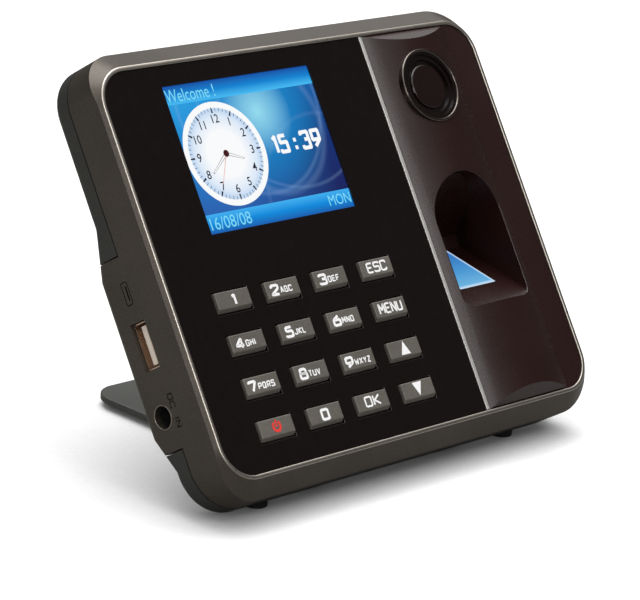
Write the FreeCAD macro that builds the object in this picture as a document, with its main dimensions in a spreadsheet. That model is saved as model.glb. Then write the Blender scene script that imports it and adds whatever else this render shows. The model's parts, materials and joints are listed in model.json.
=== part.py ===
"""Desktop fingerprint time clock, as a parametric assembly of its separate pieces.

The casing is drawn lying flat: X runs across it from its middle, Y up its front from the bottom
edge, Z out of the front, with 0 at the face of the black plate. The whole casing then leans back
on its fold-out stand, so that the origin ends on the desk under the middle of the object.
"""
import FreeCAD, Part
import math
import os

import Sketcher
from FreeCAD import Placement, Rotation, Vector

doc = FreeCAD.newDocument("time_clock")
sheet = doc.addObject("Spreadsheet::Sheet", "dims")

DIMENSIONS = [
    # casing
    ("body_wide", 155.0, "casing, left to right"),
    ("body_tall", 128.6, "casing, bottom edge to top edge"),
    ("body_round", 13.0, "casing, corner radius"),
    ("wall", 2.0, "casing, wall"),
    ("rear_depth", 18.8, "plate face to the flat of the back"),
    ("belly_depth", 23.4, "plate face to the raised band of the back"),
    ("belly_low", 24.5, "raised band, lower edge"),
    ("belly_high", 70.0, "raised band, upper edge"),
    ("belly_ramp_low", 10.5, "raised band, run of its lower slope"),
    ("belly_ramp_high", 14.0, "raised band, run of its upper slope"),
    ("back_round", 2.4, "radius round the back"),
    ("parting", 12.2, "plate face to the joint between the two shells"),
    ("reveal", 0.4, "gap that shows at that joint"),
    ("pod_low", 19.7, "connector side, lower end"),
    ("pod_high", 74.4, "connector side, upper end"),
    ("pod_thick", 5.0, "connector side, width taken from the rear cover"),
    ("tongue_thick", 1.1, "rear cover's tongue inside the front shell"),
    ("tongue_tall", 2.0, "that tongue's height past the joint"),
    # front opening
    ("open_wide", 150.7, "opening for plate and finger panel, width"),
    ("open_tall", 116.0, "opening, height"),
    ("open_low", 6.3, "opening, lower edge above the casing's bottom"),
    ("open_round", 9.5, "opening, corner radius"),
    ("lip", 1.2, "bright lip round the opening, width"),
    ("lip_proud", 0.3, "lip above the plate"),
    ("plate_thick", 1.2, "plate, strip and finger panel, thickness"),
    ("floor_thick", 2.0, "front shell's floor behind the plate"),
    ("fit_gap", 0.15, "gap round a piece set into another"),
    # display
    ("screen_wide", 57.6, "visible screen, width"),
    ("screen_tall", 43.2, "visible screen, height"),
    ("screen_x", -24.55, "screen centre, across"),
    ("screen_y", 94.6, "screen centre, up"),
    ("module_wide", 69.6, "display module, width"),
    ("module_tall", 50.2, "display module, height"),
    ("module_thick", 2.9, "display module, thickness"),
    ("gasket_thick", 0.4, "foam between plate and display"),
    # keys
    ("key_wide", 12.8, "key, width"),
    ("key_flat", 4.8, "key, height of its flat top"),
    ("key_bevel", 1.0, "key, run of the bevel along its lower edge"),
    ("key_bevel_drop", 1.2, "key, drop of that bevel"),
    ("key_proud", 0.8, "key above the plate"),
    ("key_gap", 0.45, "gap round a key"),
    ("hole_round", 0.15, "radius round the key holes of the plate"),
    ("key_flange", 1.1, "flange that keeps a key in, its width"),
    ("key_flange_thick", 1.0, "that flange, thickness"),
    ("key_travel", 0.8, "key travel"),
    ("key_pitch_x", 19.15, "keys, centre to centre across"),
    ("key_pitch_y", 12.27, "keys, centre to centre up"),
    ("key_first_x", -54.1, "left column, centre"),
    ("key_first_y", 54.4, "top row, centre of the flat tops"),
    # finger side
    ("strip_x", 29.1, "trim strip, centre"),
    ("strip_wide", 1.3, "trim strip, width"),
    ("hump_x", 47.65, "finger hump, middle"),
    ("hump_half", 17.6, "finger hump, half its width"),
    ("hump_tall", 3.6, "finger hump, height above the plate"),
    ("hump_skin", 1.8, "finger hump, wall"),
    ("recess_half", 14.2, "finger recess, half width and arch radius"),
    ("recess_low", 36.3, "finger recess, lower edge"),
    ("recess_spring", 62.4, "finger recess, where the arch starts"),
    ("recess_round", 4.0, "finger recess, lower corners"),
    ("recess_depth", 19.2, "plate face to the end of the recess"),
    ("recess_edge", 0.3, "radius round the mouth of the finger recess"),
    ("recess_wall", 1.5, "finger recess, wall"),
    ("ramp_foot", 38.7, "where the ramp's 45 degree plane meets the plate's level"),
    ("roof_foot", 75.95, "where the recess roof meets the plate's level"),
    ("roof_slope", 0.727, "recess roof, fall per unit of depth"),
    ("platen_half", 7.8, "glass platen, half width"),
    ("platen_low", 43.2, "glass platen, lower edge"),
    ("ring_y", 103.6, "round ring, centre up"),
    ("ring_outer", 11.4, "round ring, outer radius"),
    ("ring_inner", 10.5, "round ring, inner radius"),
    ("ring_proud", 0.5, "round ring above the top of the hump"),
    ("lens_half", 6.9, "centre disc, radius"),
    # sockets in the left side
    ("usb_y", 49.1, "USB port, centre up"),
    ("usb_depth", 13.5, "USB port, centre behind the plate"),
    ("usb_long", 13.1, "USB port, shell length"),
    ("usb_short", 5.7, "USB port, shell height"),
    ("usb_skin", 0.3, "USB port, shell metal"),
    ("usb_deep", 14.0, "USB port, depth into the casing"),
    ("usb_recess", 1.1, "USB port's mouth behind the side of the casing"),
    ("jack_y", 29.35, "power jack, centre up"),
    ("jack_depth", 15.8, "power jack, centre behind the plate"),
    ("jack_hole", 3.2, "power jack, hole radius"),
    ("jack_pin", 1.05, "power jack, centre pin radius"),
    ("jack_wide", 9.0, "power jack, body width"),
    ("jack_tall", 10.6, "power jack, body height off the board"),
    ("jack_deep", 14.0, "power jack, body length"),
    # main board
    ("board_face", 8.0, "plate face to the front of the main board"),
    ("board_thick", 1.6, "circuit boards, thickness"),
    ("board_left", -74.0, "main board, left edge"),
    ("board_right", 24.0, "main board, right edge"),
    ("board_low", 17.0, "main board, lower edge"),
    ("board_high", 112.0, "main board, upper edge"),
    # stand
    ("lean", 33.3, "casing's lean back from upright, degrees"),
    ("hinge_y", 7.1, "stand hinge, up the casing"),
    ("hinge_depth", 25.0, "stand hinge behind the plate"),
    ("stand_wide", 70.7, "stand plate, width"),
    ("stand_long", 79.0, "stand plate, from the hinge axis to its end"),
    ("stand_thick", 2.0, "stand plate, thickness"),
    ("stand_round", 9.0, "stand plate, rear corners"),
    ("barrel", 2.5, "hinge barrel, radius"),
    ("barrel_long", 50.0, "hinge barrel, length"),
    ("hinge_pin", 1.25, "hinge pin, radius"),
    ("pin_gap", 0.05, "hinge pin's running clearance"),
    ("ear_wide", 6.0, "hinge ear on the rear cover, width"),
    ("pad_thick", 1.8, "rubber foot, height"),
    ("pad_round", 4.5, "rubber foot, radius"),
]


class Size:
    """A length that knows its value and the sheet expression that gives it."""

    def __init__(self, value, text):
        self.value = float(value)
        self.text = text

    def __float__(self):
        return self.value

    def __add__(self, other):
        return Size(self.value + float(other), f"({self.text} + {text_of(other)})")

    def __sub__(self, other):
        return Size(self.value - float(other), f"({self.text} - {text_of(other)})")

    def __mul__(self, other):
        return Size(self.value * float(other), f"({self.text} * {text_of(other)})")

    def __truediv__(self, other):
        return Size(self.value / float(other), f"({self.text} / {text_of(other)})")

    def __neg__(self):
        return Size(-self.value, f"(-{self.text})")

    __radd__ = __add__

    def __rsub__(self, other):
        return -self + other


def text_of(size):
    return size.text if isinstance(size, Size) else f"{float(size):.6f}"


class Sheet:
    """The driving dimensions by name."""


d = Sheet()
for row, (alias, value, meaning) in enumerate(DIMENSIONS, 1):
    sheet.set(f"A{row}", meaning)
    sheet.set(f"B{row}", str(value))
    sheet.setAlias(f"B{row}", alias)
    setattr(d, alias, Size(value, f"dims.{alias}"))
doc.recompute()

nodes = {}


# ---------------------------------------------------------------- ways of making a solid

def bind(thing, prop, size):
    thing.setExpression(prop, text_of(size))


def place(thing, x, y, z):
    for axis, size in zip("xyz", (x, y, z)):
        bind(thing, f"Placement.Base.{axis}", size)


def box(name, x0, x1, y0, y1, z0, z1):
    thing = doc.addObject("Part::Box", name)
    bind(thing, "Length", Size(0, "0") + x1 - x0)
    bind(thing, "Width", Size(0, "0") + y1 - y0)
    bind(thing, "Height", Size(0, "0") + z1 - z0)
    place(thing, x0, y0, z0)
    return thing


TURN = {"x": Rotation(Vector(0, 1, 0), 90), "y": Rotation(Vector(1, 0, 0), -90), "z": Rotation()}


def rod(name, radius, x, y, z, length, along="z"):
    """A round bar from a point, in the positive direction of one axis."""
    thing = doc.addObject("Part::Cylinder", name)
    bind(thing, "Radius", radius)
    bind(thing, "Height", length)
    thing.Placement = Placement(Vector(), TURN[along])
    place(thing, x, y, z)
    return thing


def sketch_in(body, plane, offset):
    sketch = body.newObject("Sketcher::SketchObject", body.Name + "_outline")
    support = [f for f in body.Origin.OriginFeatures if f.Role == plane][0]
    sketch.AttachmentSupport = [(support, "")]
    sketch.MapMode = "FlatFace"
    bind(sketch, "AttachmentOffset.Base.z", offset)
    return sketch


def pad(body, sketch, length, taper=0.0, backward=False):
    feature = body.newObject("PartDesign::Pad", sketch.Name + "_pad")
    feature.Profile = sketch
    bind(feature, "Length", length)
    feature.TaperAngle = taper
    feature.Reversed = backward
    body.Tip = feature
    return feature


def round_rect(sketch, x0, x1, y0, y1, radii):
    """A rectangle with a radius at each corner: low left, low right, high right, high left."""
    low, high = [float(x0), float(y0)], [float(x1), float(y1)]
    corners = [Vector(low[0], low[1]), Vector(high[0], low[1]),
               Vector(high[0], high[1]), Vector(low[0], high[1])]
    ways = [Vector(1, 0), Vector(0, 1), Vector(-1, 0), Vector(0, -1)]
    lines = []
    for i in range(4):
        after = (i + 1) % 4
        start = corners[i] + ways[i] * float(radii[i])
        end = corners[after] - ways[i] * float(radii[after])
        lines.append(sketch.addGeometry(Part.LineSegment(start, end)))
        sketch.addConstraint(Sketcher.Constraint("Horizontal" if i % 2 == 0 else "Vertical", lines[i]))
    for i in range(4):
        before = lines[i - 1]
        if float(radii[i]) == 0:
            sketch.addConstraint(Sketcher.Constraint("Coincident", before, 2, lines[i], 1))
            continue
        centre = corners[i] + (ways[i] - ways[i - 1]) * float(radii[i])
        circle = Part.Circle(centre, Vector(0, 0, 1), float(radii[i]))
        first = math.pi + i * math.pi / 2
        arc = sketch.addGeometry(Part.ArcOfCircle(circle, first, first + math.pi / 2))
        sketch.addConstraint(Sketcher.Constraint("Tangent", before, 2, arc, 1))
        sketch.addConstraint(Sketcher.Constraint("Tangent", arc, 2, lines[i], 1))
        radius = sketch.addConstraint(Sketcher.Constraint("Radius", arc, float(radii[i])))
        bind(sketch, f"Constraints[{radius}]", radii[i])
    for kind, line, size in (("DistanceY", 0, y0), ("DistanceX", 1, x1),
                             ("DistanceY", 2, y1), ("DistanceX", 3, x0)):
        held = sketch.addConstraint(Sketcher.Constraint(kind, -1, 1, lines[line], 1, float(size)))
        bind(sketch, f"Constraints[{held}]", size)


def polygon(sketch, points):
    count = len(points)
    spots = [Vector(float(a), float(b)) for a, b in points]
    for i in range(count):
        sketch.addGeometry(Part.LineSegment(spots[i], spots[(i + 1) % count]))
    for i in range(count):
        sketch.addConstraint(Sketcher.Constraint("Coincident", i, 2, (i + 1) % count, 1))
        for kind, size in zip(("DistanceX", "DistanceY"), points[i]):
            held = sketch.addConstraint(Sketcher.Constraint(kind, -1, 1, i, 1, float(size)))
            bind(sketch, f"Constraints[{held}]", size)


def slab(name, x0, x1, y0, y1, radii, z0, z1, taper=0.0, backward=False):
    """A flat piece with rounded corners, from z0 to z1, or backward from z1."""
    body = doc.addObject("PartDesign::Body", name)
    sketch = sketch_in(body, "XY_Plane", z1 if backward else z0)
    round_rect(sketch, x0, x1, y0, y1, radii)
    pad(body, sketch, Size(0, "0") + z1 - z0, taper, backward)
    return body


def bar(name, points, x0, x1):
    """A bar across the casing with a side profile of (y, z) points."""
    body = doc.addObject("PartDesign::Body", name)
    sketch = sketch_in(body, "YZ_Plane", x0)
    polygon(sketch, points)
    pad(body, sketch, Size(0, "0") + x1 - x0)
    return body


def cut(name, base, *tools):
    tool = tools[0] if len(tools) == 1 else joined(name + "_tools", *tools)
    thing = doc.addObject("Part::Cut", name)
    thing.Base = base
    thing.Tool = tool
    return thing


def joined(name, *shapes):
    thing = doc.addObject("Part::MultiFuse", name)
    thing.Shapes = list(shapes)
    return thing


def shared(name, *shapes):
    thing = doc.addObject("Part::MultiCommon", name)
    thing.Shapes = list(shapes)
    return thing


def group(name, shapes):
    thing = doc.addObject("Part::Compound", name)
    thing.Links = list(shapes)
    return thing


def rounded(name, base, radius, wanted):
    """Rounds those edges of a solid that the test picks out."""
    doc.recompute()
    thing = doc.addObject("Part::Fillet", name)
    thing.Base = base
    picked = [i for i, edge in enumerate(base.Shape.Edges, 1) if wanted(edge)]
    thing.Edges = [(i, float(radius), float(radius)) for i in picked]
    return thing


def node(name, thing):
    """Names a finished piece."""
    thing.Label = name
    nodes[name] = thing
    return thing


def wrapped(name, thing):
    """A finished piece whose own placement is already used gets an outer one."""
    return node(name, group(name + "_piece", [thing]))


half_wide = d.body_wide / 2
side_in = half_wide - d.wall
open_half = d.open_wide / 2
open_high = d.open_low + d.open_tall
plate_back = -d.plate_thick
floor_back = plate_back - 0.1 - d.floor_thick
board_rear = -(d.board_face + d.board_thick)


# ---------------------------------------------------------------- the casing as one hollow block

def casing_solid(name, inset, front):
    """The casing's outer form, or its hollow when it is inset by the wall."""
    cone_shift = inset * math.sqrt(2)
    block = slab(name + "_block", -half_wide + inset, half_wide - inset, inset, d.body_tall - inset,
                 [d.body_round - inset] * 4, -d.belly_depth + inset, front)
    lip_half = open_half + d.lip
    cone = slab(name + "_cone", -lip_half, lip_half, d.open_low - d.lip, open_high + d.lip,
                [d.open_round + d.lip] * 4, -d.belly_depth - 5, d.lip_proud - cone_shift,
                taper=45.0, backward=True)
    rear, belly = -d.rear_depth + inset, -d.belly_depth + inset
    profile = bar(name + "_profile", [
        (inset - 1, d.lip_proud + 1), (inset - 1, rear), (d.belly_low - d.belly_ramp_low, rear),
        (d.belly_low, belly), (d.belly_high, belly), (d.belly_high + d.belly_ramp_high, rear),
        (d.body_tall - inset + 1, rear), (d.body_tall - inset + 1, d.lip_proud + 1)],
        -half_wide - 1, half_wide + 1)
    return shared(name, block, cone, profile)


def behind_perimeter(edge):
    """The rear outline, slopes included."""
    middle = edge.valueAt((edge.FirstParameter + edge.LastParameter) / 2)
    on_side = abs(abs(middle.x) - float(half_wide)) < 0.01
    on_end = min(abs(middle.y), abs(middle.y - float(d.body_tall))) < 0.01
    on_corner = abs(middle.x) > float(half_wide - d.body_round) + 0.01 and \
        not float(d.body_round) < middle.y < float(d.body_tall - d.body_round)
    flat = edge.BoundBox.ZMax < -float(d.rear_depth) + 0.01
    return flat and (on_side or on_end or on_corner)


zero = Size(0, "0")
casing_outer = casing_solid("casing_outer", zero, d.lip_proud)
casing = rounded("casing_rounded", casing_outer, d.back_round, behind_perimeter)
casing_hollow = casing_solid("casing_hollow", d.wall, floor_back)
shell = cut("casing_shell", casing, casing_hollow)

far = 100.0
behind = box("behind_joint", -far, far, -far, far * 2, -far, -d.parting)
pod = box("pod_zone", -far, -half_wide + d.pod_thick, d.pod_low, d.pod_high, -far, far)
behind_gap = box("behind_gap", -far, far, -far, far * 2, -far, -d.parting - d.reveal)
pod_gap = box("pod_gap_zone", -far, -half_wide + d.pod_thick + d.reveal, d.pod_low - d.reveal,
              d.pod_high + d.reveal, -far, far)
rear_zone = cut("rear_zone", behind, pod)
rear_zone_inside = cut("rear_zone_inside", behind_gap, pod_gap)

# case screws and their posts
SCREW_SPOTS = [(side * 68.0, up) for side in (-1, 1) for up in (12.5, 115.5)]
POST = 3.2
SCREW = 1.2
SCREW_HEAD = 2.7
BOARD_SPOTS = [(across, up) for across in (-67.0, 17.5) for up in (22.0, 106.0)]
BOARD_POST = 2.4
BOARD_SCREW = 0.9
post_end = -d.rear_depth + d.wall + 0.1


def rods(name, spots, radius, z, length):
    return group(name, [rod(f"{name}_{i}", radius, x, y, z, length)
                        for i, (x, y) in enumerate(spots, 1)])


# front shell: bezel, floor with its windows, side wall with the connector pod, screw posts
opening = slab("front_opening", -open_half, open_half, d.open_low, open_high, [d.open_round] * 4,
               plate_back - 0.1, 3)
display_window_hole = box("display_hole", d.screen_x - d.module_wide / 2 - 0.3,
                          d.screen_x + d.module_wide / 2 + 0.3, d.screen_y - d.module_tall / 2 - 0.3,
                          d.screen_y + d.module_tall / 2 + 0.3, floor_back - 1, 1)
reader_hole = box("reader_hole", d.hump_x - d.recess_half - d.recess_wall - 0.3,
                  d.hump_x + d.recess_half + d.recess_wall + 0.3, 33.0, 80.0, floor_back - 1, 1)
lamp_hole = rod("lamp_hole", d.ring_inner - 0.5, d.hump_x, d.ring_y, floor_back - 1, 5)

key_x = [d.key_first_x + d.key_pitch_x * i for i in range(4)]
key_y = [d.key_first_y - d.key_pitch_y * i for i in range(4)]
key_low = -d.key_flat / 2 - d.key_bevel
key_high = d.key_flat / 2
key_holes = group("key_holes", [
    box(f"key_hole_{row}{column}", x - d.key_wide / 2 - d.key_gap, x + d.key_wide / 2 + d.key_gap,
        y + key_low - d.key_gap, y + key_high + d.key_gap, floor_back - 1, 2)
    for row, y in enumerate(key_y) for column, x in enumerate(key_x)])

usb_window = box("usb_window", -half_wide - 1, -side_in + 1, d.usb_y - d.usb_long / 2 - 0.25,
                 d.usb_y + d.usb_long / 2 + 0.25, -d.usb_depth - d.usb_short / 2 - 0.25,
                 -d.usb_depth + d.usb_short / 2 + 0.25)
jack_window = rod("jack_window", d.jack_hole, -half_wide - 1, d.jack_y, -d.jack_depth,
                  d.wall + 2, "x")
front_posts = rods("front_posts", SCREW_SPOTS, POST, post_end, floor_back + 0.5 - post_end)
front_post_holes = rods("front_post_holes", SCREW_SPOTS, SCREW, post_end - 1, 9)
board_posts = rods("board_posts", BOARD_SPOTS, BOARD_POST, -d.board_face + 0.05, 5)
board_post_holes = rods("board_post_holes", BOARD_SPOTS, BOARD_SCREW + 0.05, -d.board_face - 1, 4.5)
front_wall = cut("front_wall", shell, rear_zone, opening)
front_body = joined("front_body", front_wall, front_posts, board_posts)
front_shell = node("front_shell", cut(
    "front_shell_piece", front_body, display_window_hole, reader_hole, lamp_hole, key_holes,
    usb_window, jack_window, front_post_holes, board_post_holes))

# rear cover: pan with its raised band, tongue, hinge ears and screw holes
tongue_outer = slab("tongue_outer", -side_in + d.fit_gap, side_in - d.fit_gap, d.wall + d.fit_gap,
                    d.body_tall - d.wall - d.fit_gap, [d.body_round - d.wall - d.fit_gap] * 4,
                    -d.parting - 3, -d.parting + d.tongue_tall)
tongue_inset = d.wall + d.fit_gap + d.tongue_thick
tongue_inner = slab("tongue_inner", -half_wide + tongue_inset, half_wide - tongue_inset,
                    tongue_inset, d.body_tall - tongue_inset, [d.body_round - tongue_inset] * 4,
                    -d.parting - 4, -d.parting + d.tongue_tall + 1)
tongue_base = slab("tongue_base", -half_wide + 0.5, half_wide - 0.5, 0.5, d.body_tall - 0.5,
                   [d.body_round - 0.5] * 4, -d.parting - 2, -d.parting - d.reveal)
tongue_mass = joined("tongue_mass", tongue_outer, tongue_base)
pod_clear = box("pod_clear", -far, -side_in + d.tongue_thick + 4, d.pod_low - 2, d.pod_high + 2,
                -far, far)
POST_CLEAR = POST + 0.4
post_clear = rods("post_clear", SCREW_SPOTS, POST_CLEAR, -d.rear_depth + d.wall, 12)
tongue = cut("tongue", tongue_mass, tongue_inner, pod_clear, post_clear)

ear_start = d.barrel_long / 2 + 0.3
hinge_z = -d.hinge_depth
EAR_ROUND = 2.6


def ear(name, x0):
    """A hinge ear: a tapered web from the back of the cover to a round eye."""
    web = bar(name + "_web", [
        (d.hinge_y - EAR_ROUND, hinge_z), (d.hinge_y + EAR_ROUND, hinge_z),
        (d.hinge_y + 5.5, -d.rear_depth + 1), (d.hinge_y - 3.4, -d.rear_depth + 1)],
        x0, x0 + d.ear_wide)
    eye = rod(name + "_eye", EAR_ROUND, x0, d.hinge_y, hinge_z, d.ear_wide, "x")
    return joined(name, web, eye)


ears = [ear("ear_left", -ear_start - d.ear_wide), ear("ear_right", ear_start)]
pin_long = (ear_start + d.ear_wide) * 2
ear_bore = rod("ear_bore", d.hinge_pin + 0.02, -pin_long / 2 - 1, d.hinge_y, hinge_z,
               pin_long + 2, "x")
rear_screw_holes = rods("rear_screw_holes", SCREW_SPOTS, SCREW + 0.5, -d.rear_depth - 1, 5)
rear_head_holes = rods("rear_head_holes", SCREW_SPOTS, SCREW_HEAD + 0.3, -d.rear_depth - 1, 2.1)
SPEAKER_X, SPEAKER_Y = 50.0, 16.5
SPEAKER_ROUND = 9.0
slots = [box(f"speaker_slot_{i}", SPEAKER_X - 6, SPEAKER_X + 6, SPEAKER_Y + i * 2.6 - 0.6,
             SPEAKER_Y + i * 2.6 + 0.6, -d.rear_depth - 6, -d.rear_depth + d.wall + 1)
         for i in (-2, -1, 0, 1)]
speaker_slots = group("speaker_slots", slots)
rear_pan = shared("rear_pan", shell, rear_zone_inside)
rear_body = joined("rear_body", rear_pan, tongue, *ears)
rear_cover = node("rear_cover", cut("rear_cover_piece", rear_body, ear_bore, rear_screw_holes,
                                    rear_head_holes, speaker_slots))


def screw(name, x, y, head_z, head, head_thick, shank, shank_long):
    """Pan-head screw driven from the back, with a cross slot."""
    top = rod(name + "_head", head, x, y, head_z, head_thick)
    stem = rod(name + "_stem", shank, x, y, head_z + head_thick, shank_long)
    slot_a = box(name + "_slot_a", x - head * 0.6, x + head * 0.6, y - 0.25, y + 0.25,
                 head_z - 1, head_z + 0.7)
    slot_b = box(name + "_slot_b", x - 0.25, x + 0.25, y - head * 0.6, y + head * 0.6,
                 head_z - 1, head_z + 0.7)
    return cut(name, joined(name + "_solid", top, stem), slot_a, slot_b)


case_screws = node("case_screws", group("case_screw_set", [
    screw(f"case_screw_{i}", x, y, -d.rear_depth - 0.3, SCREW_HEAD, 1.4, SCREW - 0.03, 8)
    for i, (x, y) in enumerate(SCREW_SPOTS, 1)]))

# ---------------------------------------------------------------- black plate, window and strip

strip_left = d.strip_x - d.strip_wide / 2
strip_right = d.strip_x + d.strip_wide / 2
inner_round = d.open_round - d.fit_gap
plate_low, plate_high = d.open_low + d.fit_gap, open_high - d.fit_gap
screen_left, screen_right = (d.screen_x - d.screen_wide / 2, d.screen_x + d.screen_wide / 2)
screen_low, screen_high = (d.screen_y - d.screen_tall / 2, d.screen_y + d.screen_tall / 2)

plate_blank = slab("plate_blank", -open_half + d.fit_gap, strip_left - 0.05, plate_low, plate_high,
                   [inner_round, zero, zero, inner_round], plate_back, 0)
plate_window = box("plate_window", screen_left, screen_right, screen_low, screen_high,
                   plate_back - 1, 1)
plate_cut = cut("plate_cut", plate_blank, plate_window, key_holes)
hole_floor = float(key_y[0] + key_high + d.key_gap) + 0.1


def hole_edge(edge):
    """The front edges of the key holes."""
    bounds = edge.BoundBox
    small = max(bounds.XLength, bounds.YLength) < float(d.key_wide + d.key_gap * 2) + 0.1
    return bounds.ZMin > -0.01 and small and bounds.YMax < hole_floor and \
        bounds.XMin > float(key_x[0]) - 10


node("face_plate", rounded("face_plate_piece", plate_cut, d.hole_round, hole_edge))
wrapped("display_window", box("window_pane", screen_left + 0.02, screen_right - 0.02,
                              screen_low + 0.02, screen_high - 0.02, plate_back, -0.02))

strip_side = [(plate_low, plate_back), (plate_low, 0.05), (plate_low + 0.2, 0.25),
              (plate_high - 0.2, 0.25), (plate_high, 0.05), (plate_high, plate_back)]
strip_bar = bar("strip_bar", strip_side, strip_left, strip_right)
node("trim_strip", rounded(
    "trim_strip_piece", strip_bar, 0.2,
    lambda edge: edge.BoundBox.ZMin > 0.2 and edge.BoundBox.YLength > 50))

# ---------------------------------------------------------------- display stack

module_front = plate_back - d.gasket_thick
module_left, module_right = d.screen_x - d.module_wide / 2, d.screen_x + d.module_wide / 2
module_low, module_high = d.screen_y - d.module_tall / 2, d.screen_y + d.module_tall / 2


def rim(name, outer, inner, z0, z1):
    """A flat rectangular ring about the screen's centre; outer and inner are half sizes."""
    plates = [box(f"{name}_{i}", d.screen_x - across, d.screen_x + across, d.screen_y - up,
                  d.screen_y + up, z0 - extra, z1 + extra)
              for i, ((across, up), extra) in enumerate(((outer, 0), (inner, 1)))]
    return cut(name + "_piece", *plates)


screen_half = (d.screen_wide / 2, d.screen_tall / 2)
module_half = (d.module_wide / 2, d.module_tall / 2)
node("display_gasket", rim("display_gasket", [size - 0.3 for size in module_half],
                           [size + 0.8 for size in screen_half], module_front + 0.02,
                           plate_back - 0.02))
wrapped("display_module", box("display_glass", module_left, module_right, module_low, module_high,
                              module_front - d.module_thick, module_front))
node("display_frame", rim("display_frame", module_half, [size - 3 for size in module_half],
                          -d.board_face + 0.05, module_front - d.module_thick - 0.05))
wrapped("display_ribbon", box("display_ribbon_strip", d.screen_x - 12, d.screen_x + 12,
                              module_low + 4.0, module_low + 4.3, -d.board_face + 0.05,
                              module_front - d.module_thick - 0.05))

# ---------------------------------------------------------------- keys

flange_top = floor_back - 0.1
flange_low = flange_top - d.key_flange_thick
cap_profile = [(key_low, flange_top - 0.5), (key_high, flange_top - 0.5), (key_high, d.key_proud),
               (key_low + d.key_bevel, d.key_proud), (key_low, d.key_proud - d.key_bevel_drop)]
cap = bar("key_cap", cap_profile, -d.key_wide / 2, d.key_wide / 2)
cap_edges = rounded("key_cap_rounded", cap, 0.3, lambda edge: edge.BoundBox.ZMax > -0.5)
flange = box("key_flange_plate", -d.key_wide / 2 - d.key_flange, d.key_wide / 2 + d.key_flange,
             key_low - d.key_flange, key_high + d.key_flange, flange_low, flange_top)
key_master = joined("key_master", cap_edges, flange)
KEY_NAMES = [["key_1", "key_2", "key_3", "key_esc"], ["key_4", "key_5", "key_6", "key_menu"],
             ["key_7", "key_8", "key_9", "key_up"], ["key_power", "key_0", "key_ok", "key_down"]]
key_spots = {}
for row, names in enumerate(KEY_NAMES):
    for column, name in enumerate(names):
        node(name, group(name + "_piece", [key_master]))
        key_spots[name] = Vector(float(key_x[column]), float(key_y[row]), 0)

DOME = 3.0
mat_top = -d.board_face + 0.8
dome_top = flange_low - d.key_travel - 0.1
key_middle = (key_low + key_high) / 2
mat_sheet = box("mat_sheet", key_x[0] - 9, key_x[3] + 9, key_y[3] - 6, key_y[0] + 5,
                -d.board_face + 0.02, mat_top)
domes = [rod(f"dome_{row}{column}", DOME, x, y + key_middle, -d.board_face + 0.02,
             dome_top + d.board_face - 0.02)
         for row, y in enumerate(key_y) for column, x in enumerate(key_x)]
node("keypad_mat", joined("keypad_mat_piece", mat_sheet, *domes))

# ---------------------------------------------------------------- finger panel with its hump and recess

panel_left = strip_right + 0.05
panel_right = open_half - d.fit_gap
panel_flat = slab("panel_flat", panel_left, panel_right, plate_low, plate_high,
                  [zero, inner_round, inner_round, zero], plate_back, 0)
hump_radius = (d.hump_half * float(d.hump_half) + d.hump_tall * float(d.hump_tall)) \
    / (float(d.hump_tall) * 2)
hump_axis = d.hump_tall - hump_radius


def hump_round(name, radius):
    return rod(name, radius, d.hump_x, plate_low, hump_axis, plate_high - plate_low, "y")


def hump_limits(name, inset, low, half):
    """The hump's box with 45 degree ends."""
    start, end, rise = plate_low + inset, plate_high - inset, 6.0
    return bar(name, [(start, low), (end, low), (end, 0), (end - rise, rise),
                      (start + rise, rise), (start, 0)], d.hump_x - half, d.hump_x + half)


hump = shared("hump", hump_round("hump_round", hump_radius),
              hump_limits("hump_limits", zero, plate_back, d.hump_half))
hump_hollow = shared("hump_hollow", hump_round("hump_hollow_round", hump_radius - d.hump_skin),
                     hump_limits("hump_hollow_limits", d.hump_skin + 1, plate_back - 1,
                                 d.hump_half - 1))


def arch(name, grow, z0, z1):
    """The recess outline: straight sides, round lower corners, half-round top."""
    half = d.recess_half + grow
    corner = d.recess_round + grow
    foot = slab(name + "_foot", d.hump_x - half, d.hump_x + half, d.recess_low - grow,
                d.recess_spring, [corner, corner, zero, zero], z0, z1)
    top = rod(name + "_top", half, d.hump_x, d.recess_spring, z0, Size(0, "0") + z1 - z0)
    return joined(name, foot, top)


def recess_side(name, grow, depth):
    """Side profile between the 45 degree ramp and the sloping roof."""
    ramp = d.ramp_foot - grow * math.sqrt(2)
    roof = d.roof_foot + grow * math.sqrt(1 + float(d.roof_slope) ** 2)
    rise = 8.0
    return bar(name, [(ramp - rise, rise), (ramp + depth, -depth),
                      (roof - d.roof_slope * float(depth), -depth),
                      (roof + d.roof_slope * rise, rise)], d.hump_x - 20, d.hump_x + 20)


recess = shared("recess", arch("recess_arch", zero, -d.recess_depth, 8),
                recess_side("recess_side", zero, d.recess_depth))
recess_shell = shared("recess_shell", arch("recess_shell_arch", d.recess_wall,
                                           -d.recess_depth - d.recess_wall, 3.5),
                      recess_side("recess_shell_side", d.recess_wall,
                                  d.recess_depth + d.recess_wall),
                      hump_round("recess_under_hump", hump_radius))
platen_high = d.ramp_foot + d.recess_depth
platen_front = d.ramp_foot - d.platen_low


def prism(name, grow):
    """The right-angled glass block under the ramp; its long face is the platen."""
    return bar(name, [(d.platen_low - grow, platen_front + grow * 2.2),
                      (d.platen_low - grow, -d.recess_depth - grow),
                      (platen_high + grow * 2.2, -d.recess_depth - grow)],
               d.hump_x - d.platen_half - grow, d.hump_x + d.platen_half + grow)


ring_seat = rod("ring_seat", d.ring_inner, d.hump_x, d.ring_y, plate_back - 1, 8)
finger_body = joined("finger_body", cut("panel_open", panel_flat, hump_hollow),
                     cut("hump_shell", hump, hump_hollow), recess_shell)
finger_cut = cut("finger_panel_cut", finger_body, recess, prism("prism_seat", Size(0.06, "0.06")),
                 ring_seat)


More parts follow.
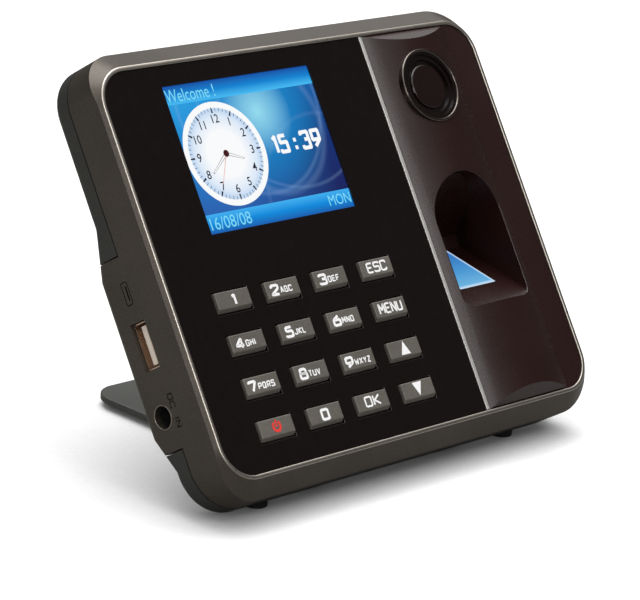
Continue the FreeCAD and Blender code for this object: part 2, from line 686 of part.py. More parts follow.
def recess_edge(edge):
    """The mouth of the recess above its ramp, where it breaks through the hump."""
    points = [edge.valueAt(edge.FirstParameter + (edge.LastParameter - edge.FirstParameter) * share)
              for share in (0.0, 0.25, 0.5, 0.75, 1.0)]
    axis_x, axis_z, radius = float(d.hump_x), float(hump_axis), float(hump_radius)
    on_hump = all(abs(math.hypot(p.x - axis_x, p.z - axis_z) - radius) < 0.02 for p in points)
    inside = all(abs(p.x - axis_x) < float(d.recess_half) + 0.05 for p in points)
    return on_hump and inside and float(d.recess_low) + 1 < points[2].y < 78


node("finger_panel", rounded("finger_panel_piece", finger_cut, d.recess_edge, recess_edge))
node("fingerprint_prism", prism("fingerprint_prism_piece", zero))

# round ring, stepped dish and centre disc at the head of the hump
ring_top = d.hump_tall + d.ring_proud
ring_tube = cut("ring_tube", rod("ring_outside", d.ring_outer, d.hump_x, d.ring_y, 1.0,
                                 ring_top - 1.0),
                rod("ring_inside", d.ring_inner, d.hump_x, d.ring_y, 0, 8))
ring_round = rounded("ring_round", ring_tube, 0.35, lambda edge: edge.BoundBox.ZMin > 3.5)
node("ring_trim", cut("ring_trim_piece", ring_round, hump))
dish_solid = rod("dish_outside", d.ring_inner - 0.1, d.hump_x, d.ring_y, plate_back,
                 ring_top - 0.4 - plate_back)
node("lamp_dish", cut(
    "lamp_dish_piece", dish_solid,
    rod("dish_step_a", d.ring_inner - 0.8, d.hump_x, d.ring_y, ring_top - 1.1, 4),
    rod("dish_step_b", d.lens_half + 1.4, d.hump_x, d.ring_y, ring_top - 1.9, 4),
    rod("dish_bore", d.lens_half + 0.1, d.hump_x, d.ring_y, plate_back + 0.8, 8)))
lens_bar = rod("lens_bar", d.lens_half, d.hump_x, d.ring_y, plate_back + 0.85,
               ring_top - 1.1 - plate_back - 0.85)
node("lamp_lens", rounded("lamp_lens_piece", lens_bar, 0.6, lambda edge: edge.BoundBox.ZMin > 1))

# ---------------------------------------------------------------- fingerprint reader behind the ramp

CHEEK = 1.6
CRADLE_LOW = 29.5
cradle_half = d.platen_half + CHEEK
cradle_rear = -d.recess_depth - 0.3
under_ramp = d.ramp_foot - (d.recess_wall + 0.2) * math.sqrt(2)
cradle_high = platen_high - 3.9
cradle_block = bar("cradle_block", [
    (CRADLE_LOW, cradle_rear), (cradle_high, cradle_rear), (cradle_high, under_ramp - cradle_high),
    (under_ramp + 5.0, -5.0), (CRADLE_LOW, -5.0)],
    d.hump_x - cradle_half, d.hump_x + cradle_half)
cradle_inside = box("cradle_inside", d.hump_x - d.platen_half - 0.06,
                    d.hump_x + d.platen_half + 0.06, CRADLE_LOW + CHEEK, 70, -far, far)
node("reader_cradle", cut("reader_cradle_piece", cradle_block, cradle_inside))
wrapped("reader_lamp_board", box("lamp_board_plate", d.hump_x - cradle_half,
                                 d.hump_x + cradle_half, d.platen_low + 0.5, cradle_high + 1,
                                 cradle_rear - 1.3, cradle_rear - 0.55))
node("reader_lamps", group("reader_lamp_set", [
    box(f"reader_lamp_{i}", d.hump_x + i * 4.2 - 0.8, d.hump_x + i * 4.2 + 0.8, 50.0, 50.8,
        cradle_rear - 0.53, cradle_rear + 0.25) for i in (-1.5, -0.5, 0.5, 1.5)]))
camera_low = CRADLE_LOW + CHEEK + 0.1
wrapped("reader_camera_board", box("camera_board_plate", d.hump_x - d.platen_half + 0.2,
                                   d.hump_x + d.platen_half - 0.2, camera_low, camera_low + 1.0,
                                   cradle_rear + 0.3, -7.0))
CAMERA_Z = -12.5
camera_barrel = rod("camera_barrel", 3.2, d.hump_x, camera_low + 1.05, CAMERA_Z, 4.5, "y")
camera_bore = rod("camera_bore", 1.6, d.hump_x, camera_low + 3.6, CAMERA_Z, 4.5, "y")
node("reader_camera_lens", cut("reader_camera_lens_piece", camera_barrel, camera_bore))
wrapped("reader_ribbon", box("reader_ribbon_strip", 19.0, d.hump_x - cradle_half - 0.02,
                             33.0, 41.0, board_rear - 0.4, board_rear - 0.05))

# ---------------------------------------------------------------- main board and what sits on it

board_blank = box("board_blank", d.board_left, d.board_right, d.board_low, d.board_high,
                  board_rear, -d.board_face)
board_holes = rods("board_holes", BOARD_SPOTS, BOARD_SCREW + 0.2, board_rear - 1, 4)
node("main_board", cut("main_board_piece", board_blank, board_holes))
node("board_screws", group("board_screw_set", [
    screw(f"board_screw_{i}", x, y, board_rear - 1.3, 2.0, 1.25, BOARD_SCREW, 4.5)
    for i, (x, y) in enumerate(BOARD_SPOTS, 1)]))
CHIPS = [(-38.0, 62.0, 14.0, 14.0, 1.4), (-16.0, 60.0, 8.0, 12.0, 1.1), (-44.0, 88.0, 10.0, 10.0, 1.2),
         (-50.0, 34.0, 6.0, 5.0, 2.2), (0.0, 34.0, 5.0, 9.0, 1.4), (-22.0, 34.0, 12.0, 7.0, 2.6)]
node("board_chips", group("board_chip_set", [
    box(f"board_chip_{i}", x - wide / 2, x + wide / 2, y - tall / 2, y + tall / 2,
        board_rear - thick, board_rear - 0.02)
    for i, (x, y, wide, tall, thick) in enumerate(CHIPS, 1)]))
CELL_X, CELL_Y = 2.0, 84.0
CELL_ROUND = 10.0
wrapped("coin_cell", rod("coin_cell_disc", CELL_ROUND, CELL_X, CELL_Y, board_rear - 4.3, 3.2))
cell_cup = cut("cell_cup", rod("cell_cup_outside", CELL_ROUND + 1.5, CELL_X, CELL_Y,
                               board_rear - 3.4, 3.35),
               rod("cell_cup_inside", CELL_ROUND + 0.1, CELL_X, CELL_Y, board_rear - 5, 4),
               box("cell_cup_gap", CELL_X - 4, CELL_X + 4, CELL_Y + 5, CELL_Y + 13,
                   board_rear - 5, board_rear - 1))
node("coin_cell_holder", cell_cup)

# USB socket: folded metal shell with a plastic tongue, its mouth in the window of the side wall
usb_mouth = -half_wide + d.usb_recess
usb_end = usb_mouth + d.usb_deep
usb_low, usb_high = d.usb_y - d.usb_long / 2, d.usb_y + d.usb_long / 2
usb_rear, usb_front = -d.usb_depth - d.usb_short / 2, -d.usb_depth + d.usb_short / 2
usb_tube = cut("usb_tube", box("usb_outside", usb_mouth, usb_end, usb_low, usb_high, usb_rear,
                               usb_front),
               box("usb_inside", usb_mouth - 1, usb_end - d.usb_skin, usb_low + d.usb_skin,
                   usb_high - d.usb_skin, usb_rear + d.usb_skin, usb_front - d.usb_skin))
usb_legs = [box(f"usb_leg_{i}", usb_mouth + run, usb_mouth + run + 1.5, y0, y0 + d.usb_skin,
                usb_front - 1, board_rear - 0.02)
            for i, (run, y0) in enumerate([(run, y0) for run in (4.0, 10.0)
                                           for y0 in (usb_low, usb_high - d.usb_skin)])]
node("usb_socket_shell", joined("usb_socket_shell_piece", usb_tube, *usb_legs))
wrapped("usb_socket_tongue", box("usb_tongue_bar", usb_mouth + 0.8, usb_end - d.usb_skin - 0.05,
                                 d.usb_y - 5.5, d.usb_y + 5.5, -d.usb_depth - 1.1,
                                 -d.usb_depth + 0.75))

# power jack: plastic body with a bore and a centre pin
jack_front = -half_wide + d.wall + 0.1
jack_body = box("jack_body", jack_front, jack_front + d.jack_deep, d.jack_y - d.jack_wide / 2,
                d.jack_y + d.jack_wide / 2, board_rear - d.jack_tall, board_rear - 0.05)
jack_bore = rod("jack_bore", d.jack_hole, jack_front - 1, d.jack_y, -d.jack_depth, 10.5, "x")
node("dc_jack_body", cut("dc_jack_body_piece", jack_body, jack_bore))
jack_pin = rod("jack_pin_bar", d.jack_pin, jack_front + 3.2, d.jack_y, -d.jack_depth, 6.25, "x")
node("dc_jack_pin", rounded("dc_jack_pin_piece", jack_pin, 0.5,
                            lambda edge: edge.BoundBox.XMax < float(jack_front) + 3.3))

# speaker behind its slots
speaker_cone = cut("speaker_cone", rod("speaker_can", SPEAKER_ROUND, SPEAKER_X, SPEAKER_Y,
                                       -d.rear_depth + d.wall + 0.1, 3.8),
                   rod("speaker_dish", SPEAKER_ROUND - 1.2, SPEAKER_X, SPEAKER_Y,
                       -d.rear_depth + d.wall - 1, 2.2))
node("speaker", speaker_cone)

# ---------------------------------------------------------------- stand, drawn about its hinge axis
# x runs across, y back from the hinge, z up from the desk's direction

stand_half = d.stand_wide / 2
stand_low, stand_high = -d.stand_thick / 2, d.stand_thick / 2
PLATE_START = 4.0
stand_sheet = slab("stand_sheet", -stand_half, stand_half, PLATE_START, d.stand_long,
                   [Size(2.0, "2.0"), Size(2.0, "2.0"), d.stand_round, d.stand_round],
                   stand_low, stand_high)
stand_sheet_round = rounded("stand_sheet_round", stand_sheet, 0.4,
                            lambda edge: abs(edge.BoundBox.ZLength) < 0.01)
neck = box("stand_neck", -d.barrel_long / 2, d.barrel_long / 2, 0, PLATE_START + 3,
           stand_low, stand_high)
barrel = rod("stand_barrel", d.barrel, -d.barrel_long / 2, 0, 0, d.barrel_long, "x")
barrel_bore = rod("stand_barrel_bore", d.hinge_pin + d.pin_gap, -d.barrel_long / 2 - 1, 0, 0,
                  d.barrel_long + 2, "x")
node("stand_plate", cut("stand_plate_piece",
                        joined("stand_mass", stand_sheet_round, neck, barrel), barrel_bore))
wrapped("stand_hinge_pin", rod("hinge_pin_bar", d.hinge_pin, -pin_long / 2, 0, 0, pin_long, "x"))
node("stand_pads", group("stand_pad_set", [
    rod(f"stand_pad_{side}", d.pad_round, (stand_half - 12) * side, d.stand_long - 12,
        stand_low - d.pad_thick, d.pad_thick) for side in (-1, 1)]))

# ---------------------------------------------------------------- everything in its place on the desk

doc.recompute()
lean = math.radians(float(d.lean))
up, back = math.cos(lean), math.sin(lean)
hinge_height = float(d.stand_thick) / 2 + float(d.pad_thick)
lip_low = float(d.open_low - d.lip)
front_reach = lip_low * back - float(d.lip_proud) * up
hinge_back = float(d.hinge_y) * back - float(hinge_z) * up
middle = (front_reach + hinge_back + float(d.stand_long)) / 2
shift = Vector(0, -middle, hinge_height - (float(d.hinge_y) * up + float(hinge_z) * back))
leaning = Placement(shift, Rotation(Vector(1, 0, 0), 90 - float(d.lean)))
hinge_place = Placement(leaning.multVec(Vector(0, float(d.hinge_y), float(hinge_z))), Rotation())

# rubber feet under the casing's lower rear edge, upright on the desk and shaped to the casing
casing_stood = group("casing_stood", [casing])
casing_stood.Placement = leaning
edge_back = float(d.back_round)
foot_back = float(leaning.multVec(Vector(0, edge_back, edge_back - float(d.rear_depth))).y) + 1.6
feet = [rod(f"body_pad_{side}", 3.5, 52.0 * side, foot_back, 0, 2.2) for side in (-1, 1)]
body_pads = node("body_pads", cut("body_pads_piece", group("body_pad_blanks", feet), casing_stood))

STAND_NODES = ("stand_plate", "stand_hinge_pin", "stand_pads")
for name, thing in nodes.items():
    if name in STAND_NODES:
        thing.Placement = hinge_place
    elif name in key_spots:
        thing.Placement = leaning.multiply(Placement(key_spots[name], Rotation()))
    elif name != "body_pads":
        thing.Placement = leaning

doc.recompute()

for thing in doc.Objects:
    if "Invalid" in thing.State or "Error" in thing.State:
        raise RuntimeError(f"{thing.Name} failed: {thing.State}")
for name, thing in nodes.items():
    if thing.Shape.isNull() or not thing.Shape.isValid() or not thing.Shape.Solids:
        raise RuntimeError(f"{name} has no sound shape")

os.makedirs("parts", exist_ok=True)
for name, thing in nodes.items():
    thing.Shape.exportStep(f"parts/{name}.step")
print(len(nodes), "pieces written")
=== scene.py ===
import json
import math

import bmesh
import bpy
from mathutils import Matrix, Vector


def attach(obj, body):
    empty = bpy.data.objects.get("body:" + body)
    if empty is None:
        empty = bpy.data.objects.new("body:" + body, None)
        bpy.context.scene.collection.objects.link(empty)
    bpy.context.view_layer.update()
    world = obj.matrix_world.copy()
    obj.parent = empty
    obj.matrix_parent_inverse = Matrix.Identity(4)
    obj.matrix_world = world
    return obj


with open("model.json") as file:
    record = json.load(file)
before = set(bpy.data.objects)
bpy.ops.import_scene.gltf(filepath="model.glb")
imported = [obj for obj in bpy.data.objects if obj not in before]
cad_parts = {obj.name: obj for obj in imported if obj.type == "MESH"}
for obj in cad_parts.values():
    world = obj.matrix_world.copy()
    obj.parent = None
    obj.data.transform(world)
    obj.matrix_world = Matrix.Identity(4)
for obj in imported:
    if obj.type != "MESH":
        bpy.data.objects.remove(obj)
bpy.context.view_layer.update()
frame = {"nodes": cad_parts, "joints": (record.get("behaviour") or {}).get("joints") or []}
cad_nodes = frame["nodes"]
MM = 0.001


# ---- Casing shells -------------------------------------------------------------------------
# Front shell and rear cover, two injection mouldings in glass-filled ABS, sprayed with a warm
# grey metallic paint over a fine spark-eroded texture. The casing leans back on its stand.

LEAN = math.radians(33.3)
HINGE_UP, HINGE_BEHIND = 7.1, 25.0
hinge_joint = next(joint for joint in frame["joints"] if joint["name"] == "stand_hinge")
casing_turn = Matrix.Rotation(math.pi / 2 - LEAN, 4, "X")
casing_shift = Vector(hinge_joint["pos_m"]) - casing_turn @ Vector((0, HINGE_UP, -HINGE_BEHIND)) * MM
# from millimetres on the casing (x across, y up its front, z out of the plate) to the desk
on_casing = Matrix.Translation(casing_shift) @ casing_turn @ Matrix.Scale(MM, 4)


def srgb(red, green, blue):
    """A display colour, 0 to 255, as the linear colour that a shader takes."""
    channels = [value / 255 for value in (red, green, blue)]
    linear = [c / 12.92 if c <= 0.04045 else ((c + 0.055) / 1.055) ** 2.4 for c in channels]
    return (*linear, 1.0)


class Shader:
    """One node tree, with short ways to add a node and to join it to others."""

    def __init__(self, tree):
        self.tree = tree

    def add(self, kind, inputs=None, **settings):
        made = self.tree.nodes.new(kind)
        for name, value in settings.items():
            setattr(made, name, value)
        for name, value in (inputs or {}).items():
            socket = made.inputs[name]
            if isinstance(value, bpy.types.NodeSocket):
                self.tree.links.new(value, socket)
            else:
                socket.default_value = value
        return made

    def math(self, operation, *values, clamp=False):
        inputs = dict(enumerate(values))
        return self.add("ShaderNodeMath", inputs, operation=operation, use_clamp=clamp).outputs[0]

    def blend(self, share, first, second):
        inputs = {0: share, 6: first, 7: second}
        return self.add("ShaderNodeMix", inputs, data_type="RGBA").outputs[2]

    def ramp(self, value, *stops):
        """Colours or greys at places from 0 to 1."""
        node = self.add("ShaderNodeValToRGB", {0: value})
        band = node.color_ramp
        while len(band.elements) < len(stops):
            band.elements.new(1.0)
        for element, (place, colour) in zip(band.elements, stops):
            element.position = place
            element.color = colour if isinstance(colour, tuple) else (colour, colour, colour, 1)
        return node.outputs[0]

    def place(self):
        return self.add("ShaderNodeTexCoord").outputs["Object"]

    def noise(self, size, detail=2.0, where=None):
        """Noise whose lumps are about the given size in metres."""
        inputs = {"Vector": where or self.place(), "Scale": 1.0 / size, "Detail": detail}
        return self.add("ShaderNodeTexNoise", inputs).outputs["Fac"]


def new_group(name, wanted, given):
    """A shader node group; wanted and given map socket names to their kind."""
    tree = bpy.data.node_groups.new(name, "ShaderNodeTree")
    for direction, sockets in (("INPUT", wanted), ("OUTPUT", given)):
        for socket, kind in sockets.items():
            tree.interface.new_socket(socket, in_out=direction, socket_type=kind)
    shader = Shader(tree)
    return shader, shader.add("NodeGroupInput").outputs, shader.add("NodeGroupOutput").inputs


def blank_material(name):
    """A new material with an empty node tree, and the Shader that fills it."""
    made = bpy.data.materials.new(name)
    made.use_nodes = True
    made.node_tree.nodes.clear()
    return made, Shader(made.node_tree)


def add_surface(shader, inputs, height, bump_mm):
    """A Principled surface with a bump of the given depth, joined to the material's output."""
    bump = shader.add("ShaderNodeBump", {"Strength": 1.0, "Distance": bump_mm * MM,
                                         "Height": height})
    surface = shader.add("ShaderNodeBsdfPrincipled", {**inputs, "Normal": bump.outputs["Normal"]})
    shader.add("ShaderNodeOutputMaterial", {"Surface": surface.outputs[0]})


# moulded grain: fine pits, paint speckle and slow cloudiness of the finish
grain, grain_in, grain_out = new_group(
    "moulded_grain",
    {"Dark": "NodeSocketColor", "Light": "NodeSocketColor", "Grain size": "NodeSocketFloat",
     "Gloss": "NodeSocketFloat"},
    {"Color": "NodeSocketColor", "Roughness": "NodeSocketFloat", "Height": "NodeSocketFloat"})
CLOUD_SIZE, SPECKLE_FINER = 0.018, 1.3
CLOUD_GLOSS, PIT_GLOSS = 0.12, 0.18
grain_scale = grain.math("DIVIDE", 1.0, grain_in["Grain size"])
pits = grain.add("ShaderNodeTexNoise", {"Vector": grain.place(), "Scale": grain_scale,
                                        "Detail": 3.0}).outputs["Fac"]
speckle_scale = grain.math("MULTIPLY", grain_scale, SPECKLE_FINER)
speckle = grain.add("ShaderNodeTexVoronoi", {"Vector": grain.place(), "Scale": speckle_scale})
clouds = grain.noise(CLOUD_SIZE, 3.0)
tone = grain.math("ADD", grain.math("MULTIPLY", speckle.outputs["Distance"], 0.55),
                  grain.math("MULTIPLY", clouds, 0.45))
tone = grain.math("ADD", grain.math("MULTIPLY", pits, 0.5), grain.math("MULTIPLY", tone, 0.6))
coloured = grain.blend(grain.ramp(tone, (0.32, 0.0), (0.75, 1.0)), grain_in["Dark"], grain_in["Light"])
grain.tree.links.new(coloured, grain_out["Color"])
patchy = grain.math("MULTIPLY", grain.math("SUBTRACT", clouds, 0.5), CLOUD_GLOSS)
uneven = grain.math("MULTIPLY", grain.math("SUBTRACT", pits, 0.5), PIT_GLOSS)
roughness = grain.math("ADD", grain_in["Gloss"], grain.math("ADD", patchy, uneven), clamp=True)
grain.tree.links.new(roughness, grain_out["Roughness"])
grain.tree.links.new(pits, grain_out["Height"])


def moulded(name, dark, light, grain_mm, gloss, bump_mm, **fixed):
    """A material in painted or bare moulded plastic, rubber or similar."""
    made, shader = blank_material(name)
    texture = shader.add("ShaderNodeGroup", node_tree=grain.tree)
    texture.inputs["Dark"].default_value = dark
    texture.inputs["Light"].default_value = light
    texture.inputs["Grain size"].default_value = grain_mm * MM
    texture.inputs["Gloss"].default_value = gloss
    add_surface(shader, {"Base Color": texture.outputs["Color"],
                         "Roughness": texture.outputs["Roughness"], **fixed},
                texture.outputs["Height"], bump_mm)
    return made


def finish_node(name, material):
    """Gives one of the clock's solid pieces its finish."""
    slots = cad_nodes[name].data.materials
    slots.clear()
    slots.append(material)


shell_paint = moulded("shell_paint", srgb(53, 48, 43), srgb(86, 79, 70), 0.3, 0.36, 0.014,
                      Metallic=0.5)
cover_paint = moulded("cover_paint", srgb(42, 42, 40), srgb(66, 66, 62), 0.3, 0.44, 0.014,
                      Metallic=0.35)
finish_node("front_shell", shell_paint)
finish_node("rear_cover", cover_paint)


# ---- Bright lip ----------------------------------------------------------------------------
# The edge of the front opening is turned bright: a narrow bead of polished nickel-coloured
# foil, hot-stamped on the crest of the lip after painting.

OPEN_HALF, OPEN_LOW, OPEN_HIGH, OPEN_ROUND = 75.35, 6.3, 122.3, 9.5
LIP_CREST = 0.3
# the bead's cross-section: outwards from the opening, and up from the crest
LIP_SECTION = ((0.0, -0.02), (0.03, 0.05), (0.35, 0.1), (0.85, 0.1), (1.17, 0.03), (1.2, -0.02))


def round_loop(x0, x1, y0, y1, radius, steps=14):
    """Points round a rectangle with round corners, against the clock from the low right."""
    points = []
    centres = [(x1 - radius, y0 + radius), (x1 - radius, y1 - radius),
               (x0 + radius, y1 - radius), (x0 + radius, y0 + radius)]
    for turn, (cx, cy) in enumerate(centres):
        for step in range(steps + 1):
            angle = math.radians(-90 + 90 * turn + 90 * step / steps)
            points.append((cx + radius * math.cos(angle), cy + radius * math.sin(angle)))
    return points


def new_piece(name, mesh, material, body="clock", smooth=True):
    """Makes a mesh drawn in casing millimetres into a piece on its body."""
    bmesh.ops.recalc_face_normals(mesh, faces=mesh.faces[:])
    data = bpy.data.meshes.new(name)
    mesh.to_mesh(data)
    mesh.free()
    data.transform(on_casing)
    for face in data.polygons:
        face.use_smooth = smooth
    data.materials.append(material)
    made = bpy.data.objects.new(name, data)
    bpy.context.scene.collection.objects.link(made)
    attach(made, body)


def closed_sweep(mesh, rings):
    """Skins a closed run of closed sections."""
    made = [[mesh.verts.new(point) for point in ring] for ring in rings]
    for here, after in zip(made, made[1:] + made[:1]):
        for i in range(len(here)):
            j = (i + 1) % len(here)
            mesh.faces.new((here[i], here[j], after[j], after[i]))


# polish: fine marks over slower ones, as shifts in gloss
brushed, brushed_in, brushed_out = new_group(
    "fine_polish", {"Line": "NodeSocketFloat"},
    {"Roughness": "NodeSocketFloat", "Height": "NodeSocketFloat"})
polish_marks = brushed.noise(0.0012, 4.0)
slow_marks = brushed.noise(0.012, 2.0)
mixed_marks = brushed.math("ADD", brushed.math("MULTIPLY", polish_marks, 0.16),
                           brushed.math("MULTIPLY", slow_marks, 0.1))
brushed.tree.links.new(brushed.math("ADD", brushed_in["Line"], mixed_marks),
                       brushed_out["Roughness"])
brushed.tree.links.new(polish_marks, brushed_out["Height"])


def bright_metal(name, colour, gloss, bump_mm=0.002):
    """Plated, foiled or drawn metal with faint polishing marks."""
    made, shader = blank_material(name)
    marks = shader.add("ShaderNodeGroup", node_tree=brushed.tree)
    marks.inputs["Line"].default_value = gloss
    add_surface(shader, {"Base Color": colour, "Metallic": 1.0,
                         "Roughness": marks.outputs["Roughness"]}, marks.outputs["Height"], bump_mm)
    return made


foil = bright_metal("bright_foil", srgb(196, 188, 178), 0.18)
lip_mesh = bmesh.new()
lip_loops = [round_loop(-OPEN_HALF - out, OPEN_HALF + out, OPEN_LOW - out, OPEN_HIGH + out,
                        OPEN_ROUND + out) for out, _ in LIP_SECTION]
closed_sweep(lip_mesh, [[(*point, LIP_CREST + rise) for point, (_, rise) in zip(ring, LIP_SECTION)]
                        for ring in zip(*lip_loops)])
new_piece("lip_bead", lip_mesh, foil)


# ---- Face plate ----------------------------------------------------------------------------
# A 1.2 mm sheet of clear acrylic, printed solid black on its back, with a clear window left
# over the display. The surface is flat and glossy with only a trace of unevenness.

plate_black = moulded("plate_black", srgb(15, 10, 9), srgb(20, 14, 13), 2.5, 0.06, 0.0006)
finish_node("face_plate", plate_black)


# ---- Display window and module -------------------------------------------------------------
# The clear part of the plate, and behind it a 2.8 inch colour display held in a black frame
# with a foam seal. The film ribbon folds down to the main board.

SCREEN_LEFT, SCREEN_TOP, SCREEN_WIDE, SCREEN_TALL = -53.35, 116.2, 57.6, 43.2

GLEAM_SHARE = 0.025
window_clear, window = blank_material("window_clear")
smudge = window.math("ADD", window.math("MULTIPLY", window.noise(0.006, 3.0), 0.06), 0.02)
gleam = window.add("ShaderNodeBsdfGlossy", {"Color": (1, 1, 1, 1), "Roughness": smudge})
open_way = window.add("ShaderNodeBsdfTransparent", {"Color": (0.96, 0.97, 0.98, 1)})
window_mix = window.add("ShaderNodeMixShader", {0: GLEAM_SHARE, 1: open_way.outputs[0],
                                                2: gleam.outputs[0]})
window.add("ShaderNodeOutputMaterial", {"Surface": window_mix.outputs[0]})
finish_node("display_window", window_clear)

display_black = moulded("display_black", srgb(10, 11, 14), srgb(16, 17, 21), 1.0, 0.18, 0.001)
foam_black = moulded("foam_black", srgb(18, 18, 18), srgb(34, 34, 34), 0.5, 0.85, 0.06)
frame_black = moulded("frame_black", srgb(24, 24, 25), srgb(36, 36, 37), 0.4, 0.5, 0.01)
ribbon_film = moulded("ribbon_film", srgb(150, 84, 24), srgb(186, 112, 38), 0.8, 0.28, 0.004)
finish_node("display_module", display_black)
finish_node("display_gasket", foam_black)
finish_node("display_frame", frame_black)
finish_node("display_ribbon", ribbon_film)


# ---- Screen picture ------------------------------------------------------------------------
# What the lit display shows, drawn at the depth where it appears through the acrylic. Its
# ground is blue with a pale glow and faint sweeping lines, between a header and a footer bar.

PICTURE_LEVEL, PICTURE_STEP, SHEET_THICK = -0.5, 0.02, 0.01
HEADER_TALL, FOOTER_TALL = 5.4, 5.6
GLOW_X, GLOW_Y, GLOW_REACH = 32.5, -11.0, 26.0
# sweeping lines: centre x and y, radius, half width, strength
SWEEPS = ((36, -16, 19.5, 1.6, 0.14), (30, -8, 27.0, 1.0, 0.16), (44, -2, 33.0, 0.8, 0.14),
          (52, -40, 26.0, 0.9, 0.08))


def layer_level(layer):
    """Where one of the picture's thin layers lies, out of the plate's face."""
    return PICTURE_LEVEL + PICTURE_STEP * (layer + 1)


def screen_point(x, y, layer):
    """A place given in millimetres from the screen's top left corner, on the casing."""
    return (SCREEN_LEFT + x, SCREEN_TOP + y, layer_level(layer))


def solid_shape(mesh, points, z, thick):
    """A filled flat shape as a thin closed layer with its top at z."""
    top = [mesh.verts.new((a, b, z)) for a, b in points]
    lower = [mesh.verts.new((a, b, z - thick)) for a, b in points]
    mesh.faces.new(top)
    mesh.faces.new(lower[::-1])
    for i in range(len(points)):
        j = (i + 1) % len(points)
        mesh.faces.new((top[i], lower[i], lower[j], top[j]))


def on_screen(name, mesh, material):
    """Makes a mesh into a piece of the picture."""
    new_piece(name, mesh, material, smooth=False)


def lit(name, colour, glow=1.0, **fixed):
    """A self-lit material; colour and glow are values, or functions of the shader."""
    made, shader = blank_material(name)
    colour, glow = (given(shader) if callable(given) else given for given in (colour, glow))
    surface = shader.add("ShaderNodeBsdfPrincipled", {
        "Base Color": (0.0, 0.0, 0.0, 1), "Roughness": 0.4, "Specular IOR Level": 0.2,
        "Emission Color": colour, "Emission Strength": glow, **fixed})
    shader.add("ShaderNodeOutputMaterial", {"Surface": surface.outputs[0]})
    return made


def screen_place(shader):
    """Sockets with the distance in millimetres right of and above the screen's top left."""
    start = on_casing @ Vector((SCREEN_LEFT, SCREEN_TOP, 0))
    across, up = casing_turn @ Vector((1, 0, 0)), casing_turn @ Vector((0, 1, 0))
    offset = shader.add("ShaderNodeVectorMath", {0: shader.place(), 1: start}, operation="SUBTRACT")
    found = []
    for direction in (across, up):
        along = shader.add("ShaderNodeVectorMath", {0: offset.outputs[0], 1: direction / MM},
                           operation="DOT_PRODUCT")
        found.append(along.outputs["Value"])
    return found


def far_from(shader, x, y, px, py):
    """The distance of the place x, y from the point px, py."""
    dx = shader.math("SUBTRACT", x, px)
    dy = shader.math("SUBTRACT", y, py)
    return shader.math("SQRT", shader.math("ADD", shader.math("MULTIPLY", dx, dx),
                                           shader.math("MULTIPLY", dy, dy)))


def ground_colour(shader):
    """Blue falling off to the right and down, a pale glow in the middle, and faint sweeps."""
    x, y = screen_place(shader)
    right = shader.math("DIVIDE", x, SCREEN_WIDE)
    down = shader.math("DIVIDE", y, -SCREEN_TALL)
    left_side = shader.ramp(down, (0.1, srgb(38, 160, 226)), (0.5, srgb(20, 128, 205)),
                            (0.88, srgb(40, 96, 176)))
    right_side = shader.ramp(down, (0.1, srgb(10, 88, 164)), (0.5, srgb(12, 46, 116)),
                             (0.88, srgb(18, 28, 92)))
    colour = shader.blend(shader.ramp(right, (0.25, 0.0), (0.95, 1.0)), left_side, right_side)
    from_glow = shader.math("DIVIDE", far_from(shader, x, y, GLOW_X, GLOW_Y), GLOW_REACH)
    for stops, tint in ((((0.2, 0.95), (1.0, 0.0)), srgb(8, 138, 206)),
                        (((0.0, 0.9), (0.5, 0.0)), srgb(160, 230, 246))):
        colour = shader.blend(shader.ramp(from_glow, *stops), colour, tint)
    for px, py, radius, wide, strength in SWEEPS:
        gap = shader.math("ABSOLUTE", shader.math("SUBTRACT", far_from(shader, x, y, px, py), radius))
        line = shader.ramp(shader.math("DIVIDE", gap, wide), (0.0, strength), (1.0, 0.0))
        colour = shader.blend(line, colour, srgb(150, 190, 240))
    return colour


def bar_colour(low, high, *colours):
    """Three colours down a bar, from its upper edge to its lower one."""
    def colour(shader):
        y = screen_place(shader)[1]
        share = shader.math("DIVIDE", shader.math("SUBTRACT", high, y), high - low)
        return shader.ramp(share, *zip((0.0, 0.5, 1.0), colours))
    return colour


header_low = -HEADER_TALL
footer_high = FOOTER_TALL - SCREEN_TALL
picture_sheets = (
    ("screen_ground", 0, SCREEN_WIDE, -SCREEN_TALL, 0, 0, lit("picture_ground", ground_colour)),
    ("screen_header", 0, SCREEN_WIDE, header_low, 0, 1, lit("picture_header", bar_colour(
        header_low, 0, srgb(16, 80, 166), srgb(0, 132, 212), srgb(70, 190, 246)))),
    ("screen_footer", 0, SCREEN_WIDE, -SCREEN_TALL, footer_high, 1, lit("picture_footer", bar_colour(
        -SCREEN_TALL, footer_high, srgb(64, 178, 244), srgb(0, 140, 222), srgb(20, 92, 176)))))
for name, x0, x1, y0, y1, layer, material in picture_sheets:
    sheet_mesh = bmesh.new()
    corners = [screen_point(x, y, layer)[:2] for x, y in ((x0, y0), (x1, y0), (x1, y1), (x0, y1))]
    solid_shape(sheet_mesh, corners, layer_level(layer), SHEET_THICK)
    on_screen(name, sheet_mesh, material)


# ---- Analogue dial -------------------------------------------------------------------------
# A white dial with a pale blue edge, on the left of the picture, standing at 15:39. It has
# ticks, pale hour and minute hands with grey outlines, a red second hand and a dark hub.

DIAL_X, DIAL_Y = 15.6, -21.4
DIAL_OUTER, DIAL_FACE, HUB_RADIUS = 15.3, 13.5, 1.05
HOUR_TICK, HOUR_TICK_WIDE, MINUTE_TICK, MINUTE_TICK_WIDE = 1.5, 0.66, 1.0, 0.2
HOUR_ANGLE, MINUTE_ANGLE, SECOND_ANGLE = (math.radians(a) for a in (109.5, 234.0, 210.0))
HOUR_LONG, MINUTE_LONG, HAND_WIDE, FILL_WIDE, FILL_SHORTER = 6.6, 8.6, 1.0, 0.62, 0.3
SECOND_LONG, SECOND_WIDE = 9.8, 0.4


